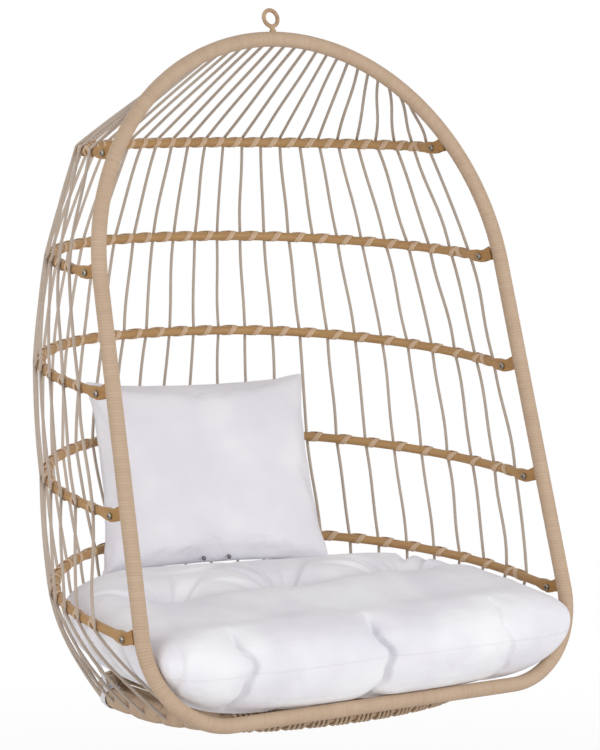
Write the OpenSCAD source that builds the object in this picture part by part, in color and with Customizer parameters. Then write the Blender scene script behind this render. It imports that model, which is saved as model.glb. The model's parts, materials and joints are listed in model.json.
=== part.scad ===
// Hanging egg chair: steel hoop, five ribs, cord basket, seat and back cushions.
// Millimetres. Origin at the centre of the hanging eye, +Z up, the sitter faces -Y.

/* [Hanging] */
// Lean of the hoop plane when the chair hangs at rest
hang_tilt = 14.81; // [5:0.01:25]
// Outside diameter of the forged eye
eye_outer_d = 36.5; // [30:0.5:60]
// Diameter of the eye's rod
eye_rod_d = 7.3; // [6:0.1:12]
// Distance from the eye centre down to the hoop's top centreline
eye_to_hoop = 38; // [30:1:60]

/* [Hoop] */
// Diameter of the bare steel tube
hoop_tube_d = 22; // [18:0.5:32]
// Wall of the steel tube
hoop_wall = 1.2; // [1:0.1:3]
// Diameter over the wound strip
hoop_wrap_d = 26.6; // [24:0.2:40]
// Radius of the arch, on the centreline
arch_r = 435; // [350:5:520]
// Outward splay of the two side limbs
limb_splay = 2.2; // [0:0.1:6]
// Radius of the two bottom corners
corner_r = 155; // [80:5:200]
// Distance from the eye centre to the bottom rail, along the hoop plane
rail_drop = 1214; // [1000:5:1400]

/* [Ribs] */
// Diameter of the rib tube
rib_d = 16; // [12:0.5:22]
// Wall of the rib tube
rib_wall = 1.2; // [1:0.1:2]
// Distance of the first rib's bolt from the eye, along the hoop plane
bolt_first = 228.4; // [200:1:260]
// Distance between neighbouring rib bolts
bolt_step = 205; // [180:1:230]
// Distance of the bolts behind the hoop plane
bolt_back = 41.5; // [36:0.5:60]
// Diameter of the rib bolts
bolt_d = 6; // [5:0.5:8]

/* [Rib 1] */
// Distance of its bolts outside the hoop's centreline
rib_1_out = -2.2; // [-8:0.1:8]
// Depth from the bolts to the back
rib_1_depth = 288.6; // [240:0.5:340]
// Radius of the back curve
rib_1_crown = 405.6; // [370:0.5:450]
// Straight length behind each bolt
rib_1_leg = 40; // [36:1:60]
// Rise toward the back
rib_1_tilt = 1.86; // [0:0.1:10]
// Length without cords at each end
rib_1_bare = 36; // [24:1:56]

/* [Rib 2] */
// Distance of its bolts outside the hoop's centreline
rib_2_out = -5.2; // [-8:0.1:8]
// Depth from the bolts to the back
rib_2_depth = 400; // [350:0.5:440]
// Radius of the back curve
rib_2_crown = 620; // [500:5:700]
// Straight length behind each bolt
rib_2_leg = 2; // [0:1:30]
// Rise toward the back
rib_2_tilt = 4.67; // [0:0.1:10]
// Length without cords at each end
rib_2_bare = 48; // [36:1:68]

/* [Rib 3] */
// Distance of its bolts outside the hoop's centreline
rib_3_out = -0.7; // [-8:0.1:8]
// Depth from the bolts to the back
rib_3_depth = 473; // [430:0.5:500]
// Radius of the back curve
rib_3_crown = 700; // [600:5:800]
// Straight length behind each bolt
rib_3_leg = 75; // [50:1:100]
// Rise toward the back
rib_3_tilt = 6.37; // [0:0.1:10]
// Length without cords at each end
rib_3_bare = 48; // [36:1:68]

/* [Rib 4] */
// Distance of its bolts outside the hoop's centreline
rib_4_out = -0.1; // [-8:0.1:8]
// Depth from the bolts to the back
rib_4_depth = 560; // [520:0.5:600]
// Radius of the back curve
rib_4_crown = 380; // [350:5:420]
// Straight length behind each bolt
rib_4_leg = 60; // [40:1:80]
// Rise toward the back
rib_4_tilt = 5.79; // [0:0.1:10]
// Length without cords at each end
rib_4_bare = 47; // [35:1:67]

/* [Rib 5] */
// Distance of its bolts outside the hoop's centreline
rib_5_out = 3.6; // [-8:0.1:8]
// Depth from the bolts to the back
rib_5_depth = 540.8; // [500:0.5:580]
// Radius of the back curve
rib_5_crown = 698; // [600:1:800]
// Straight length behind each bolt
rib_5_leg = 90; // [60:1:120]
// Rise toward the back
rib_5_tilt = 7.41; // [0:0.1:12]
// Length without cords at each end
rib_5_bare = 79; // [67:1:99]

/* [Seat ring] */
// Half width of the ring, on the centreline
ring_half = 318; // [280:1:340]
// Half depth of the ring, on the centreline
ring_depth = 232; // [200:1:260]
// Radius of the front and back curves
ring_crown = 700; // [500:5:900]
// Straight length each side of the middle
ring_leg = 24; // [0:1:60]
// Diameter of the ring tube
ring_d = 25; // [20:0.5:32]
// Front of the ring behind the eye, negative is forward
ring_front_y = -262; // [-300:1:-220]
// Height of the ring's front
ring_front_z = -1194; // [-1250:1:-1150]
// Rise of the ring toward the back
ring_tilt = 3; // [0:0.5:8]

/* [Cords] */
// Number of cords from the hoop to the ring
cord_count = 28; // [20:2:36]
// Diameter of a cord
cord_d = 5; // [4:0.2:8]
// Angle on the arch covered by the cords, each side of the top
cord_arch_half = 39.3; // [30:0.1:60]
// Spacing of the cords along the ring
cord_ring_pitch = 44.5; // [38:0.5:50]
// Outward belly of the lowest span
cord_belly = 18; // [0:1:30]
// Outward bow of the other spans
cord_bow = 3; // [0:0.5:6]
// Length of rib covered by one cord's wrapped turns
turns_length = 11; // [8:1:16]
// Thickness of the wrapped turns
turns_thick = 1.6; // [1:0.1:4]
// Distance of the wrapped turns beside their cord
turns_beside = 20; // [14:1:28]
// Loops of the seat winding
winding_loops = 24; // [12:2:24]

/* [Seat cushion] */
// Distance of the seam inside the fifth rib's bolts
seat_side_gap = 21; // [12:1:60]
// Front edge at the seam
seat_front_y = -345; // [-360:1:-320]
// Widest line of the cushion
seat_mid_y = -200; // [-240:1:-100]
// Back edge at the seam
seat_back_y = 258; // [200:1:270]
// Height of the seam at the front edge
seat_seam_z = -1085; // [-1110:1:-1060]
// Stuffing above the seam
seat_top = 88; // [50:1:100]
// Stuffing below the seam
seat_bottom = 90; // [60:1:100]
// Rise toward the back
seat_tilt = 3.5; // [0:0.5:8]
// Lift of the sides and back, where the basket holds them
seat_curl = 34; // [0:1:45]
// Depth of the dents that the hoop and first cords press into the sides
seat_pinch = 14; // [0:1:20]
// Depth of the hollow that the back cushion presses
seat_press = 50; // [0:1:60]
// Depth of the three sewn tufts
tuft_depth = 26; // [0:1:40]

/* [Back cushion] */
// Width along the seam
pillow_w = 450; // [400:5:500]
// Height along the seam
pillow_h = 365; // [320:5:450]
// Full thickness at the middle
pillow_t = 128; // [80:2:160]
// Turn toward the sitter's left
pillow_yaw = -12; // [-20:1:20]
// Lean back from upright
pillow_lean = 17.5; // [5:0.5:30]
// Middle of its lower edge, to the sitter's left
pillow_at_x = 11; // [-40:1:40]
// Distance of its lower edge in front of the third rib's back
pillow_stand = 167; // [140:1:200]
// Height of its lower edge
pillow_at_z = -999; // [-1010:1:-960]

/* [View] */
// Piece to show

/* [Hidden] */
$fn = 64;
steel_grey = [0.72, 0.72, 0.74];
strip_beige = [0.77, 0.67, 0.55];
cord_grey = [0.62, 0.57, 0.52];
rib_ochre = [0.75, 0.57, 0.31];
linen_white = [0.93, 0.93, 0.95];
fit_gap = 0.3;
hair = 0.01;
hoop_r = hoop_wrap_d / 2;
rib_r = rib_d / 2;
ring_r = ring_d / 2;
cord_r = cord_d / 2;
arch_drop = eye_to_hoop + arch_r;
limb_top = [arch_r * cos(limb_splay), -arch_drop + arch_r * sin(limb_splay)];
corner_c = [limb_top[0] + tan(limb_splay) * (rail_drop - corner_r + limb_top[1])
            - corner_r / cos(limb_splay), -rail_drop + corner_r];
limb_end = corner_c + corner_r * [cos(limb_splay), sin(limb_splay)];
lug_t = 3;
lug_gap = 8.8;
tab_t = 8;
tab_r = 10.5;
tab_reach = 34;

// ---------------------------------------------------------------- points

function unit(v) = v / norm(v);

// A point of the hoop plane: x across, s down from the eye, n behind the plane.
function hoop_pt(x, s, n = 0) = [x, -s * sin(hang_tilt) + n * cos(hang_tilt),
                                 -s * cos(hang_tilt) - n * sin(hang_tilt)];

// A bow is half span, depth, leg, crown radius: a leg, a side arc and half a crown
// each side, all tangent.
function side_r(b) = (2 * b[3] * (b[1] - b[2]) - b[0] * b[0] - pow(b[1] - b[2], 2))
                     / (2 * (b[3] - b[0]));
function crown_half(b) = b[3] > side_r(b) ? atan2(b[0] - side_r(b), b[2] - b[1] + b[3])
                                          : atan2(side_r(b) - b[0], b[1] - b[3] - b[2]);
function crown_len(b) = b[3] * crown_half(b) * PI / 180;
function side_len(b) = side_r(b) * (90 - crown_half(b)) * PI / 180;
function bow_half(b) = b[2] + side_len(b) + crown_len(b);

// Direction of the bow's outward normal, from the +Y axis, at arc length q from the back.
function bow_turn(b, q) = q < crown_len(b) ? q / b[3] * 180 / PI
    : min(90, crown_half(b) + (q - crown_len(b)) / side_r(b) * 180 / PI);
function bow_xy(b, q) = let (a = bow_turn(b, q))
    q < crown_len(b) ? [b[3] * sin(a), b[1] - b[3] + b[3] * cos(a)]
    : q < crown_len(b) + side_len(b)
    ? [b[0] - side_r(b) + side_r(b) * sin(a), b[2] + side_r(b) * cos(a)]
    : [b[0], bow_half(b) - q];

// Half width of the hoop's centreline at a distance from the eye, above its corners.
function hoop_half(s) = s > -limb_top[1] ? limb_top[0] + tan(limb_splay) * (s + limb_top[1])
    : sqrt(pow(arch_r, 2) - pow(arch_drop - s, 2));
function rib_half(k, out) = hoop_half(bolt_first + bolt_step * k) + out;
ribs = [[rib_half(0, rib_1_out), rib_1_depth, rib_1_leg, rib_1_crown],
        [rib_half(1, rib_2_out), rib_2_depth, rib_2_leg, rib_2_crown],
        [rib_half(2, rib_3_out), rib_3_depth, rib_3_leg, rib_3_crown],
        [rib_half(3, rib_4_out), rib_4_depth, rib_4_leg, rib_4_crown],
        [rib_half(4, rib_5_out), rib_5_depth, rib_5_leg, rib_5_crown]];
rib_tilts = [rib_1_tilt, rib_2_tilt, rib_3_tilt, rib_4_tilt, rib_5_tilt];
bare_ends = [rib_1_bare, rib_2_bare, rib_3_bare, rib_4_bare, rib_5_bare];
ring = [ring_half, ring_depth, ring_leg, ring_crown];

function bolt_s(k) = bolt_first + bolt_step * k;
function bolt_at(k) = hoop_pt(0, bolt_s(k), bolt_back);
function tilted(p, t) = [p[0], p[1] * cos(t) - p[2] * sin(t), p[1] * sin(t) + p[2] * cos(t)];
function rib_pitch(k) = 2 * (bow_half(ribs[k]) - bare_ends[k]) / (cord_count - 1);

// Centre, outward and upward directions where cord u crosses line k: 0 to 4 ribs, 5 ring.
function cross_q(k, u) = k < 5 ? abs(u) * rib_pitch(k) : abs(u) * cord_ring_pitch;
function cross_c(k, u) = k < 5
    ? let (p = bow_xy(ribs[k], cross_q(k, u)))
      bolt_at(k) + tilted([sign(u) * p[0], p[1], 0], rib_tilts[k])
    : ring_c(sign(u), cross_q(5, u));
function cross_n(k, u) = k < 5
    ? let (a = bow_turn(ribs[k], cross_q(k, u))) tilted([sign(u) * sin(a), cos(a), 0], rib_tilts[k])
    : ring_n(sign(u), cross_q(5, u));
function cross_u(k) = tilted([0, 0, 1], k < 5 ? rib_tilts[k] : ring_tilt);

// The ring is two equal bows, so past the side the curve is mirrored to the front.
function ring_c(side, q) = let (f = q > bow_half(ring), p = bow_xy(ring, f ? 2 * bow_half(ring) - q : q))
    [0, ring_front_y, ring_front_z] + tilted([side * p[0], ring_depth + (f ? -p[1] : p[1]), 0], ring_tilt);
function ring_n(side, q) = let (f = q > bow_half(ring), a = bow_turn(ring, f ? 2 * bow_half(ring) - q : q))
    tilted([side * sin(a), f ? -cos(a) : cos(a), 0], ring_tilt);

// ---------------------------------------------------------------- cords

function arch_pt(u) = let (a = u * 2 * cord_arch_half / (cord_count - 1))
    hoop_pt(arch_r * sin(a), arch_drop - arch_r * cos(a));
function knot(j, u) = j == 0 ? arch_pt(u) : cross_c(j - 1, u);
function belly(j) = j == 5 ? cord_belly : cord_bow;
function level(v) = unit([v[0], v[1], 0]);
function span_n(j, u) = level(j == 0 ? cross_n(0, u) : cross_n(j - 1, u) + cross_n(j, u));

// Outward angle of the cord's touch on line k, coming down into it and leaving it.
function angle_in(k, u) = let (d = knot(k, u) - knot(k + 1, u) + span_n(k, u) * 4 * belly(k))
    atan2(-(d * cross_n(k, u)), d * cross_u(k));
function angle_out(k, u) = k == 5 ? -60
    : let (d = knot(k + 2, u) - knot(k + 1, u) + span_n(k + 1, u) * 4 * belly(k + 1))
    atan2(d * cross_n(k, u), -(d * cross_u(k)));
function touch(k, u, a, r) = cross_c(k, u) + r * (cos(a) * cross_n(k, u) + sin(a) * cross_u(k));
function touch_r(k, u) = k == 5 ? ring_r + cord_r
    : (rib_r + cord_r + 0.15) / cos(min(40, max(0, angle_in(k, u) - angle_out(k, u)) / 2));
// Each cord starts in the wound strip, clear of the steel, whatever its slant to the hoop.
function cord_start(u) = let (w = unit(knot(1, u) - knot(0, u)),
                              t = unit(arch_pt(u + 0.01) - arch_pt(u - 0.01)))
    knot(0, u) + w * (hoop_tube_d / 2 + 0.7 + cord_r * abs(w * t)) / norm(cross(w, t));
function span_from(j, u) = j == 0 ? cord_start(u)
    : touch(j - 1, u, angle_out(j - 1, u), touch_r(j - 1, u));
function span_to(j, u) = touch(j, u, angle_in(j, u), touch_r(j, u));
function span_pts(j, u) = let (a = span_from(j, u), b = span_to(j, u),
                               fs = j == 5 ? [0.25, 0.5, 0.75] : [0.5])
    concat([a], [for (f = fs) a * (1 - f) + b * f + span_n(j, u) * belly(j) * 4 * f * (1 - f)], [b]);
function cord_path(u) = concat([for (j = [0:5]) each span_pts(j, u)], [touch(5, u, -60, ring_r - 1)]);

// Rings of a round cord along a path, each square to the path, never rolling about it.
function path_dir(p, i) = unit(p[min(i + 1, len(p) - 1)] - p[max(i - 1, 0)]);
function cord_ring(p, i, side, r, sides) =
    let (d = path_dir(p, i), e = unit(cross(d, side)), f = cross(d, e))
    [for (k = [0:sides - 1]) p[i] + r * (cos(360 * k / sides) * e + sin(360 * k / sides) * f)];
function tube_faces(n, sides) = concat(
    [for (i = [0:n - 2]) for (k = [0:sides - 1]) let (m = (k + 1) % sides) each
        [[i * sides + k, (i + 1) * sides + m, i * sides + m],
         [i * sides + k, (i + 1) * sides + k, (i + 1) * sides + m]]],
    [for (k = [1:sides - 2]) [0, k, k + 1]],
    [for (k = [1:sides - 2]) [(n - 1) * sides, (n - 1) * sides + k + 1, (n - 1) * sides + k]]);

module cord_tube(path, side, r = cord_r, sides = 6) {
    polyhedron(points = [for (i = [0:len(path) - 1]) each cord_ring(path, i, side, r, sides)],
               faces = tube_faces(len(path), sides), convexity = 6);
}

module strand(i) {
    u = i - (cord_count + 1) / 2;
    color(cord_grey)
        cord_tube(cord_path(u), level(cross(cross_n(2, u), [0, 0, 1])));
}

// The turns that lash the cords to a rib, a sleeve beside each cord; the last one lies inboard.
function turns_q(k, u) = sign(u) * cross_q(k, u)
    + (u > cord_count / 2 - 1 ? -turns_length / 2 - cord_r - 1.5
       : u > cord_count / 2 - 2 ? min(turns_beside, rib_pitch(k) - 1.5 * turns_length - cord_r - 3.4)
       : turns_beside);

module turns(k) {
    for (i = [1:cord_count]) {
        q = turns_q(k, i - (cord_count + 1) / 2);
        p = bow_xy(ribs[k], abs(q));
        translate(bolt_at(k))
            rotate([rib_tilts[k], 0, 0])
                translate([sign(q) * p[0], p[1], 0])
                    rotate([0, 0, -sign(q) * bow_turn(ribs[k], abs(q))])
                        rotate([0, 90, 0])
                            difference() {
                                cylinder(r = rib_r + fit_gap + turns_thick, h = turns_length, center = true, $fn = 40);
                                cylinder(r = rib_r + fit_gap, h = turns_length + 2, center = true, $fn = 32);
                            }
    }
}

module rib_1_turns() {
    color(cord_grey)
        turns(0);
}

module rib_2_turns() {
    color(cord_grey)
        turns(1);
}

module rib_3_turns() {
    color(cord_grey)
        turns(2);
}

module rib_4_turns() {
    color(cord_grey)
        turns(3);
}

module rib_5_turns() {
    color(cord_grey)
        turns(4);
}

// ---------------------------------------------------------------- seat winding

// One unbroken cord: over the ring's tops front to back, round, and back underneath.
// Each loop lies midway between two cords' touches on the outside of the ring.
wind_step = 30;
wind_r = (ring_r + cord_r + 0.1) / cos(wind_step / 2);
function wind_q(i) = (i + 0.5) * cord_ring_pitch / 2;
function wind_x(i) = let (q = wind_q(abs(i + 0.5) - 0.5))
    sign(i + 0.5) * (bow_xy(ring, q)[0] + wind_r * sin(bow_turn(ring, q)));
function wind_y(x) = let (a = crown_half(ring), r = side_r(ring), w = abs(x)) w < ring_crown * sin(a)
    ? ring_depth - ring_crown + sqrt(pow(ring_crown, 2) - w * w)
    : ring_leg + sqrt(r * r - pow(w - ring_half + r, 2));
function wind_slope(x) = let (y = wind_y(x), d = wind_y(abs(x) + 0.5) - y) sqrt(1 + 4 * d * d);
function wind_end(x, back, a) = [x, ring_depth + back * (wind_y(x) + wind_r * wind_slope(x) * cos(a)),
                                 wind_r * sin(a)];
function wind_loop(i) = let (x = wind_x(i), z = wind_x(i + 1)) concat(
    [for (a = [90:-wind_step:-90]) wind_end(x + (a < 0 ? (z - x) * 0.06 : 0), 1, a)],
    [for (a = [-90:wind_step:90]) wind_end(z - (a < 0 ? (z - x) * 0.06 : 0), -1, a)]);
wind_path = concat([wind_end(wind_x(-winding_loops / 2), -1, 90)],
                   [for (i = [-winding_loops / 2:winding_loops / 2 - 2]) each wind_loop(i)],
                   [for (a = [90:-wind_step:-90]) wind_end(wind_x(winding_loops / 2 - 1), 1, a)]);
loop_pts = 2 * (180 / wind_step + 1);
function seg_gap(p, i, j) = norm(p[i] - p[j]);
wind_gap = min([for (i = [0:len(wind_path) - loop_pts - 2]) for (j = [i + loop_pts - 1:i + loop_pts + 1])
                seg_gap(wind_path, i, j)]) - cord_d;
echo(least_gap_between_neighbouring_turns = wind_gap);

module seat_webbing() {
    color(cord_grey)
        translate([0, ring_front_y, ring_front_z])
            rotate([ring_tilt, 0, 0])
                cord_tube(wind_path, [1, 0, 0]);
}

// ---------------------------------------------------------------- tubes

// Lengths of one bent tube meet with a hair of air, so that each stays an exact solid.
module arc_tube(r, from, to, d_out, d_in) {
    cut = hair / r * 180 / PI;
    rotate([0, 0, from + cut])
        rotate_extrude(angle = to - from - 2 * cut, $fn = 96)
            translate([r, 0])
                difference() {
                    circle(d = d_out, $fn = 48);
                    circle(d = d_in, $fn = 48);
                }
}

// A straight tube along local +Y from a point.
module run_tube(at, turn, length, d_out, d_in) {
    translate([at[0], at[1], 0])
        rotate([0, 0, turn])
            translate([0, hair, 0])
                rotate([-90, 0, 0])
                    linear_extrude(length - 2 * hair)
                        difference() {
                            circle(d = d_out, $fn = 48);
                            circle(d = d_in, $fn = 48);
                        }
}

module in_hoop_plane() {
    rotate([90 - hang_tilt, 0, 0])
        children();
}

module hoop_line(d_out, d_in) {
    in_hoop_plane()
        union() {
            translate([0, -arch_drop, 0])
                arc_tube(arch_r, limb_splay, 180 - limb_splay, d_out, d_in);
            for (m = [0, 1])
                mirror([m, 0, 0]) {
                    run_tube(limb_end, limb_splay, norm(limb_top - limb_end), d_out, d_in);
                    translate([corner_c[0], corner_c[1], 0])
                        arc_tube(corner_r, -90, limb_splay, d_out, d_in);
                }
            run_tube([corner_c[0], -rail_drop], 90, 2 * corner_c[0], d_out, d_in);
        }
}

module hoop_tube() {
    color(steel_grey)
        hoop_line(hoop_tube_d, hoop_tube_d - 2 * hoop_wall);
}

module hoop_wrap() {
    color(strip_beige)
        difference() {
            hoop_line(hoop_wrap_d, hoop_tube_d + 0.2);
            in_hoop_plane()
                translate([0, -eye_to_hoop + hoop_tube_d / 2, 0])
                    rotate([-90, 0, 0])
                        cylinder(r = 6.4, h = 8);
        }
}

// Forged ring, its neck and the foot that is welded to the hoop.
module hanging_eye() {
    ring_mid = (eye_outer_d - eye_rod_d) / 2;
    neck = eye_to_hoop - hoop_tube_d / 2 - ring_mid;
    color(strip_beige)
        in_hoop_plane()
            union() {
                rotate_extrude()
                    translate([ring_mid, 0])
                        circle(d = eye_rod_d, $fn = 40);
                translate([0, -eye_to_hoop + hoop_tube_d / 2 + 0.1, 0])
                    rotate([-90, 0, 0])
                        rotate_extrude()
                            polygon([[0, 0], [6, 0], [6, 4], [4.6, 7], [4.2, neck], [0, neck]]);
            }
}

// ---------------------------------------------------------------- lugs, ribs, fasteners

// Ear of a clevis in the local Y-Z plane: root at the origin, bore at the tip.
module ear(reach, width, bore) {
    rotate([90, 0, 90])
        translate([0, 0, -lug_t / 2])
            linear_extrude(lug_t)
                difference() {
                    union() {
                        polygon([[0, -width * 0.62], [reach * 0.5, -width / 2], [reach, -width / 2],
                                 [reach, width / 2], [reach * 0.5, width / 2], [0, width * 0.62]]);
                        translate([reach, 0])
                            circle(d = width, $fn = 40);
                    }
                    translate([reach, 0])
                        circle(d = bore, $fn = 32);
                }
}

module rib_lugs() {
    root = hoop_tube_d / 2 + 0.15;
    color(strip_beige)
        for (k = [0:4])
            for (m = [-1, 1])
                for (e = [-1, 1])
                    translate(hoop_pt(m * ribs[k][0] + e * (lug_gap + lug_t) / 2, bolt_s(k), root))
                        rotate([-hang_tilt, 0, 0])
                            ear(bolt_back - root, 20, bolt_d + 0.4);
}

module rib_end(k) {
    start = max(0, tab_reach - ribs[k][2]);
    turn = asin(start / side_r(ribs[k]));
    shift = side_r(ribs[k]) * (1 - cos(turn));
    translate([ribs[k][0], 0, 0]) {
        difference() {
            union() {
                rotate([0, 90, 0])
                    cylinder(r = tab_r, h = tab_t, center = true, $fn = 40);
                translate([-tab_t / 2, 0, -tab_r])
                    cube([tab_t, 18, 2 * tab_r]);
            }
            rotate([0, 90, 0])
                cylinder(d = bolt_d + 0.6, h = tab_t + 2, center = true, $fn = 32);
        }
        hull() {
            translate([-tab_t / 2, 17.9, -tab_r])
                cube([tab_t, 0.1, 2 * tab_r]);
            translate([-shift, tab_reach, 0])
                rotate([-90, 0, turn])
                    translate([0, 0, -0.1 - hair])
                        cylinder(d = rib_d, h = 0.1, $fn = 32);
        }
    }
}

module rib(k) {
    b = ribs[k];
    inner = rib_d - 2 * rib_wall;
    r = side_r(b);
    a = crown_half(b);
    start = asin(max(0, tab_reach - b[2]) / r);
    color(rib_ochre)
        translate(bolt_at(k))
            rotate([rib_tilts[k], 0, 0])
                union() {
                    translate([0, b[1] - b[3], 0])
                        arc_tube(b[3], 90 - a, 90 + a, rib_d, inner);
                    for (m = [0, 1])
                        mirror([m, 0, 0]) {
                            translate([b[0] - r, b[2], 0])
                                arc_tube(r, start, 90 - a, rib_d, inner);
                            if (b[2] > tab_reach)
                                run_tube([b[0], tab_reach], 0, b[2] - tab_reach, rib_d, inner);
                            rib_end(k);
                        }
                }
}

module rib_1() {
    rib(0);
}

module rib_2() {
    rib(1);
}

module rib_3() {
    rib(2);
}

module rib_4() {
    rib(3);
}

module rib_5() {
    rib(4);
}

half_pack = lug_gap / 2 + lug_t;

// Domed screw along +X, its head on the -X side, with a hex socket.
module screw() {
    rotate([0, 90, 0])
        difference() {
            rotate_extrude()
                polygon([[0, -half_pack - 5], [3.6, -half_pack - 4.6], [5.6, -half_pack - 3],
                         [6.2, -half_pack - 0.2], [bolt_d / 2, -half_pack - 0.2],
                         [bolt_d / 2, half_pack + 8], [0, half_pack + 8]]);
            translate([0, 0, -half_pack - 6])
                cylinder(d = 3.6, h = 3.4, $fn = 6);
        }
}

// Washer and domed nut on the +X side of a clevis.
module nut() {
    rotate([0, 90, 0])
        translate([0, 0, half_pack + 0.2])
            difference() {
                union() {
                    cylinder(d = 12.5, h = 1.2);
                    translate([0, 0, 1.2])
                        cylinder(d = 11, h = 4.6, $fn = 6);
                    translate([0, 0, 5.8])
                        rotate_extrude()
                            polygon([[0, 0], [4.6, 0], [4.2, 1.8], [3, 3.3], [0, 4]]);
                }
                translate([0, 0, -1])
                    cylinder(d = bolt_d + 0.1, h = 9);
            }
}

module at_rib_bolts() {
    for (k = [0:4])
        for (m = [-1, 1])
            translate(bolt_at(k) + [m * ribs[k][0], 0, 0])
                rotate([-hang_tilt, 0, 0])
                    children();
}

module rib_screws() {
    color(steel_grey)
        at_rib_bolts()
            screw();
}

module rib_nuts() {
    color(steel_grey)
        at_rib_bolts()
            nut();
}

// ---------------------------------------------------------------- seat ring

module in_ring_plane() {
    translate([0, ring_front_y, ring_front_z])
        rotate([ring_tilt, 0, 0])
            translate([0, ring_depth, 0])
                children();
}

// The lugs stand midway between two loops of the winding.
ring_x_lug = (wind_x(8) + wind_x(9)) / 2;
lug_ring_y = ring_front_y + (ring_depth - wind_y(ring_x_lug)) * cos(ring_tilt);
lug_ring_z = ring_front_z + (ring_depth - wind_y(ring_x_lug)) * sin(ring_tilt);
rail_y = hoop_pt(0, rail_drop)[1];
rail_z = hoop_pt(0, rail_drop)[2];
lug_span = norm([lug_ring_y - rail_y, lug_ring_z - rail_z]);
lug_fall = atan2(lug_ring_z - rail_z, lug_ring_y - rail_y);
lug_bolt = (hoop_r + lug_span - ring_r) / 2;

// Frame at a ring lug: origin on the rail's axis, local +Y toward the ring.
module at_ring_lugs() {
    for (m = [-1, 1])
        translate([m * ring_x_lug, rail_y, rail_z])
            rotate([lug_fall, 0, 0])
                children();
}

module seat_ring() {
    inner = ring_d - 3;
    r = side_r(ring);
    a = crown_half(ring);
    color(strip_beige)
        union() {
            in_ring_plane()
                for (m = [0, 1])
                    mirror([0, m, 0]) {
                        translate([0, ring_depth - ring_crown, 0])
                            arc_tube(ring_crown, 90 - a, 90 + a, ring_d, inner);
                        for (n = [0, 1])
                            mirror([n, 0, 0]) {
                                translate([ring_half - r, ring_leg, 0])
                                    arc_tube(r, 0, 90 - a, ring_d, inner);
                                run_tube([ring_half, 0], 0, ring_leg, ring_d, inner);
                            }
                    }
            at_ring_lugs()
                difference() {
                    union() {
                        translate([-tab_t / 2, lug_bolt, -7.5])
                            cube([tab_t, lug_span - ring_r + 1 - lug_bolt, 15]);
                        translate([0, lug_bolt, 0])
                            rotate([0, 90, 0])
                                cylinder(r = 7.5, h = tab_t, center = true, $fn = 40);
                    }
                    translate([0, lug_bolt, 0])
                        rotate([0, 90, 0])
                            cylinder(d = bolt_d + 0.6, h = tab_t + 2, center = true, $fn = 32);
                }
        }
}

module ring_lugs() {
    root = hoop_tube_d / 2 + 0.15;
    color(strip_beige)
        at_ring_lugs()
            for (e = [-1, 1])
                translate([e * (lug_gap + lug_t) / 2, root, 0])
                    ear(lug_bolt - root, 15, bolt_d + 0.4);
}

module ring_screws() {
    color(steel_grey)
        at_ring_lugs()
            translate([0, lug_bolt, 0]) {
                screw();
                nut();
            }
}

// Wound sleeves over the ring's sides, that clamp the first cords, with a collar at each end.
wrap_back = 8;
wrap_front = 31;
module ring_wraps() {
    r = side_r(ring);
    color(cord_grey)
        in_ring_plane()
            for (n = [0, 1])
                mirror([n, 0, 0]) {
                    translate([ring_half - r, ring_leg, 0]) {
                        arc_tube(r, 0, wrap_back, ring_d + 5, ring_d + 0.4);
                        arc_tube(r, wrap_back, wrap_back + 3, ring_d + 9, ring_d + 0.4);
                    }
                    run_tube([ring_half, -ring_leg], 0, 2 * ring_leg, ring_d + 5, ring_d + 0.4);
                    translate([ring_half - r, -ring_leg, 0]) {
                        arc_tube(r, -wrap_front, 0, ring_d + 5, ring_d + 0.4);
                        arc_tube(r, -wrap_front - 3, -wrap_front, ring_d + 9, ring_d + 0.4);
                    }
                }
}

// ---------------------------------------------------------------- seat cushion

seat_half = ribs[4][0] - seat_side_gap;
// Outline radius at angle a: squarer in front, rounder at the back and, with low up to 1, below.
function seat_edge(a, low = 0) = let (c = abs(cos(a)), s = abs(sin(a)), b = sin(a) > 0,
                                      d = b ? seat_back_y - seat_mid_y : seat_mid_y - seat_front_y,
                                      e = b ? 2.6 : 7 - 3.4 * low, h = seat_half * (1 - 0.06 * low))
    1 / pow(pow(c / h, e) + pow(s / d, e), 1 / e);
function dent(x, y, cx, cy, w) = exp(-(pow(x - cx, 2) + pow(y - cy, 2)) / (w * w));
function groove(x, cx, w) = exp(-pow((x - cx) / w, 2));
// The three tufts, the valleys from them to the front edge, and the hollow under the back cushion.
tuft_x = 0.6 * seat_half;
pillow_at_y = bolt_at(2)[1] + rib_3_depth * cos(rib_3_tilt) - pillow_stand;
function grooves(x, w) = groove(x, -tuft_x, w) + groove(x, 0, w) + groove(x, tuft_x, w);
function seat_dip(x, y) = tuft_depth * (dent(x, y, -tuft_x, -60, 34) + dent(x, y, 0, -40, 34)
                                        + dent(x, y, tuft_x, -30, 34))
    + 13 * grooves(x, 20) * min(1, max(0, (40 - y) / 120))
    + seat_press * exp(-pow((x - pillow_at_x) / (0.63 * pillow_w), 4)
                       - pow((y - pillow_at_y - 12 - (x - pillow_at_x) * tan(pillow_yaw)) / 80, 2));
function seat_lift(a) = seat_curl * min(1, max(0, (sin(a) + 0.6) / 0.6));
function seat_puffs(a, x) = sin(a) > -0.3 ? 0 : 9 * grooves(x, 16);
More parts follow.
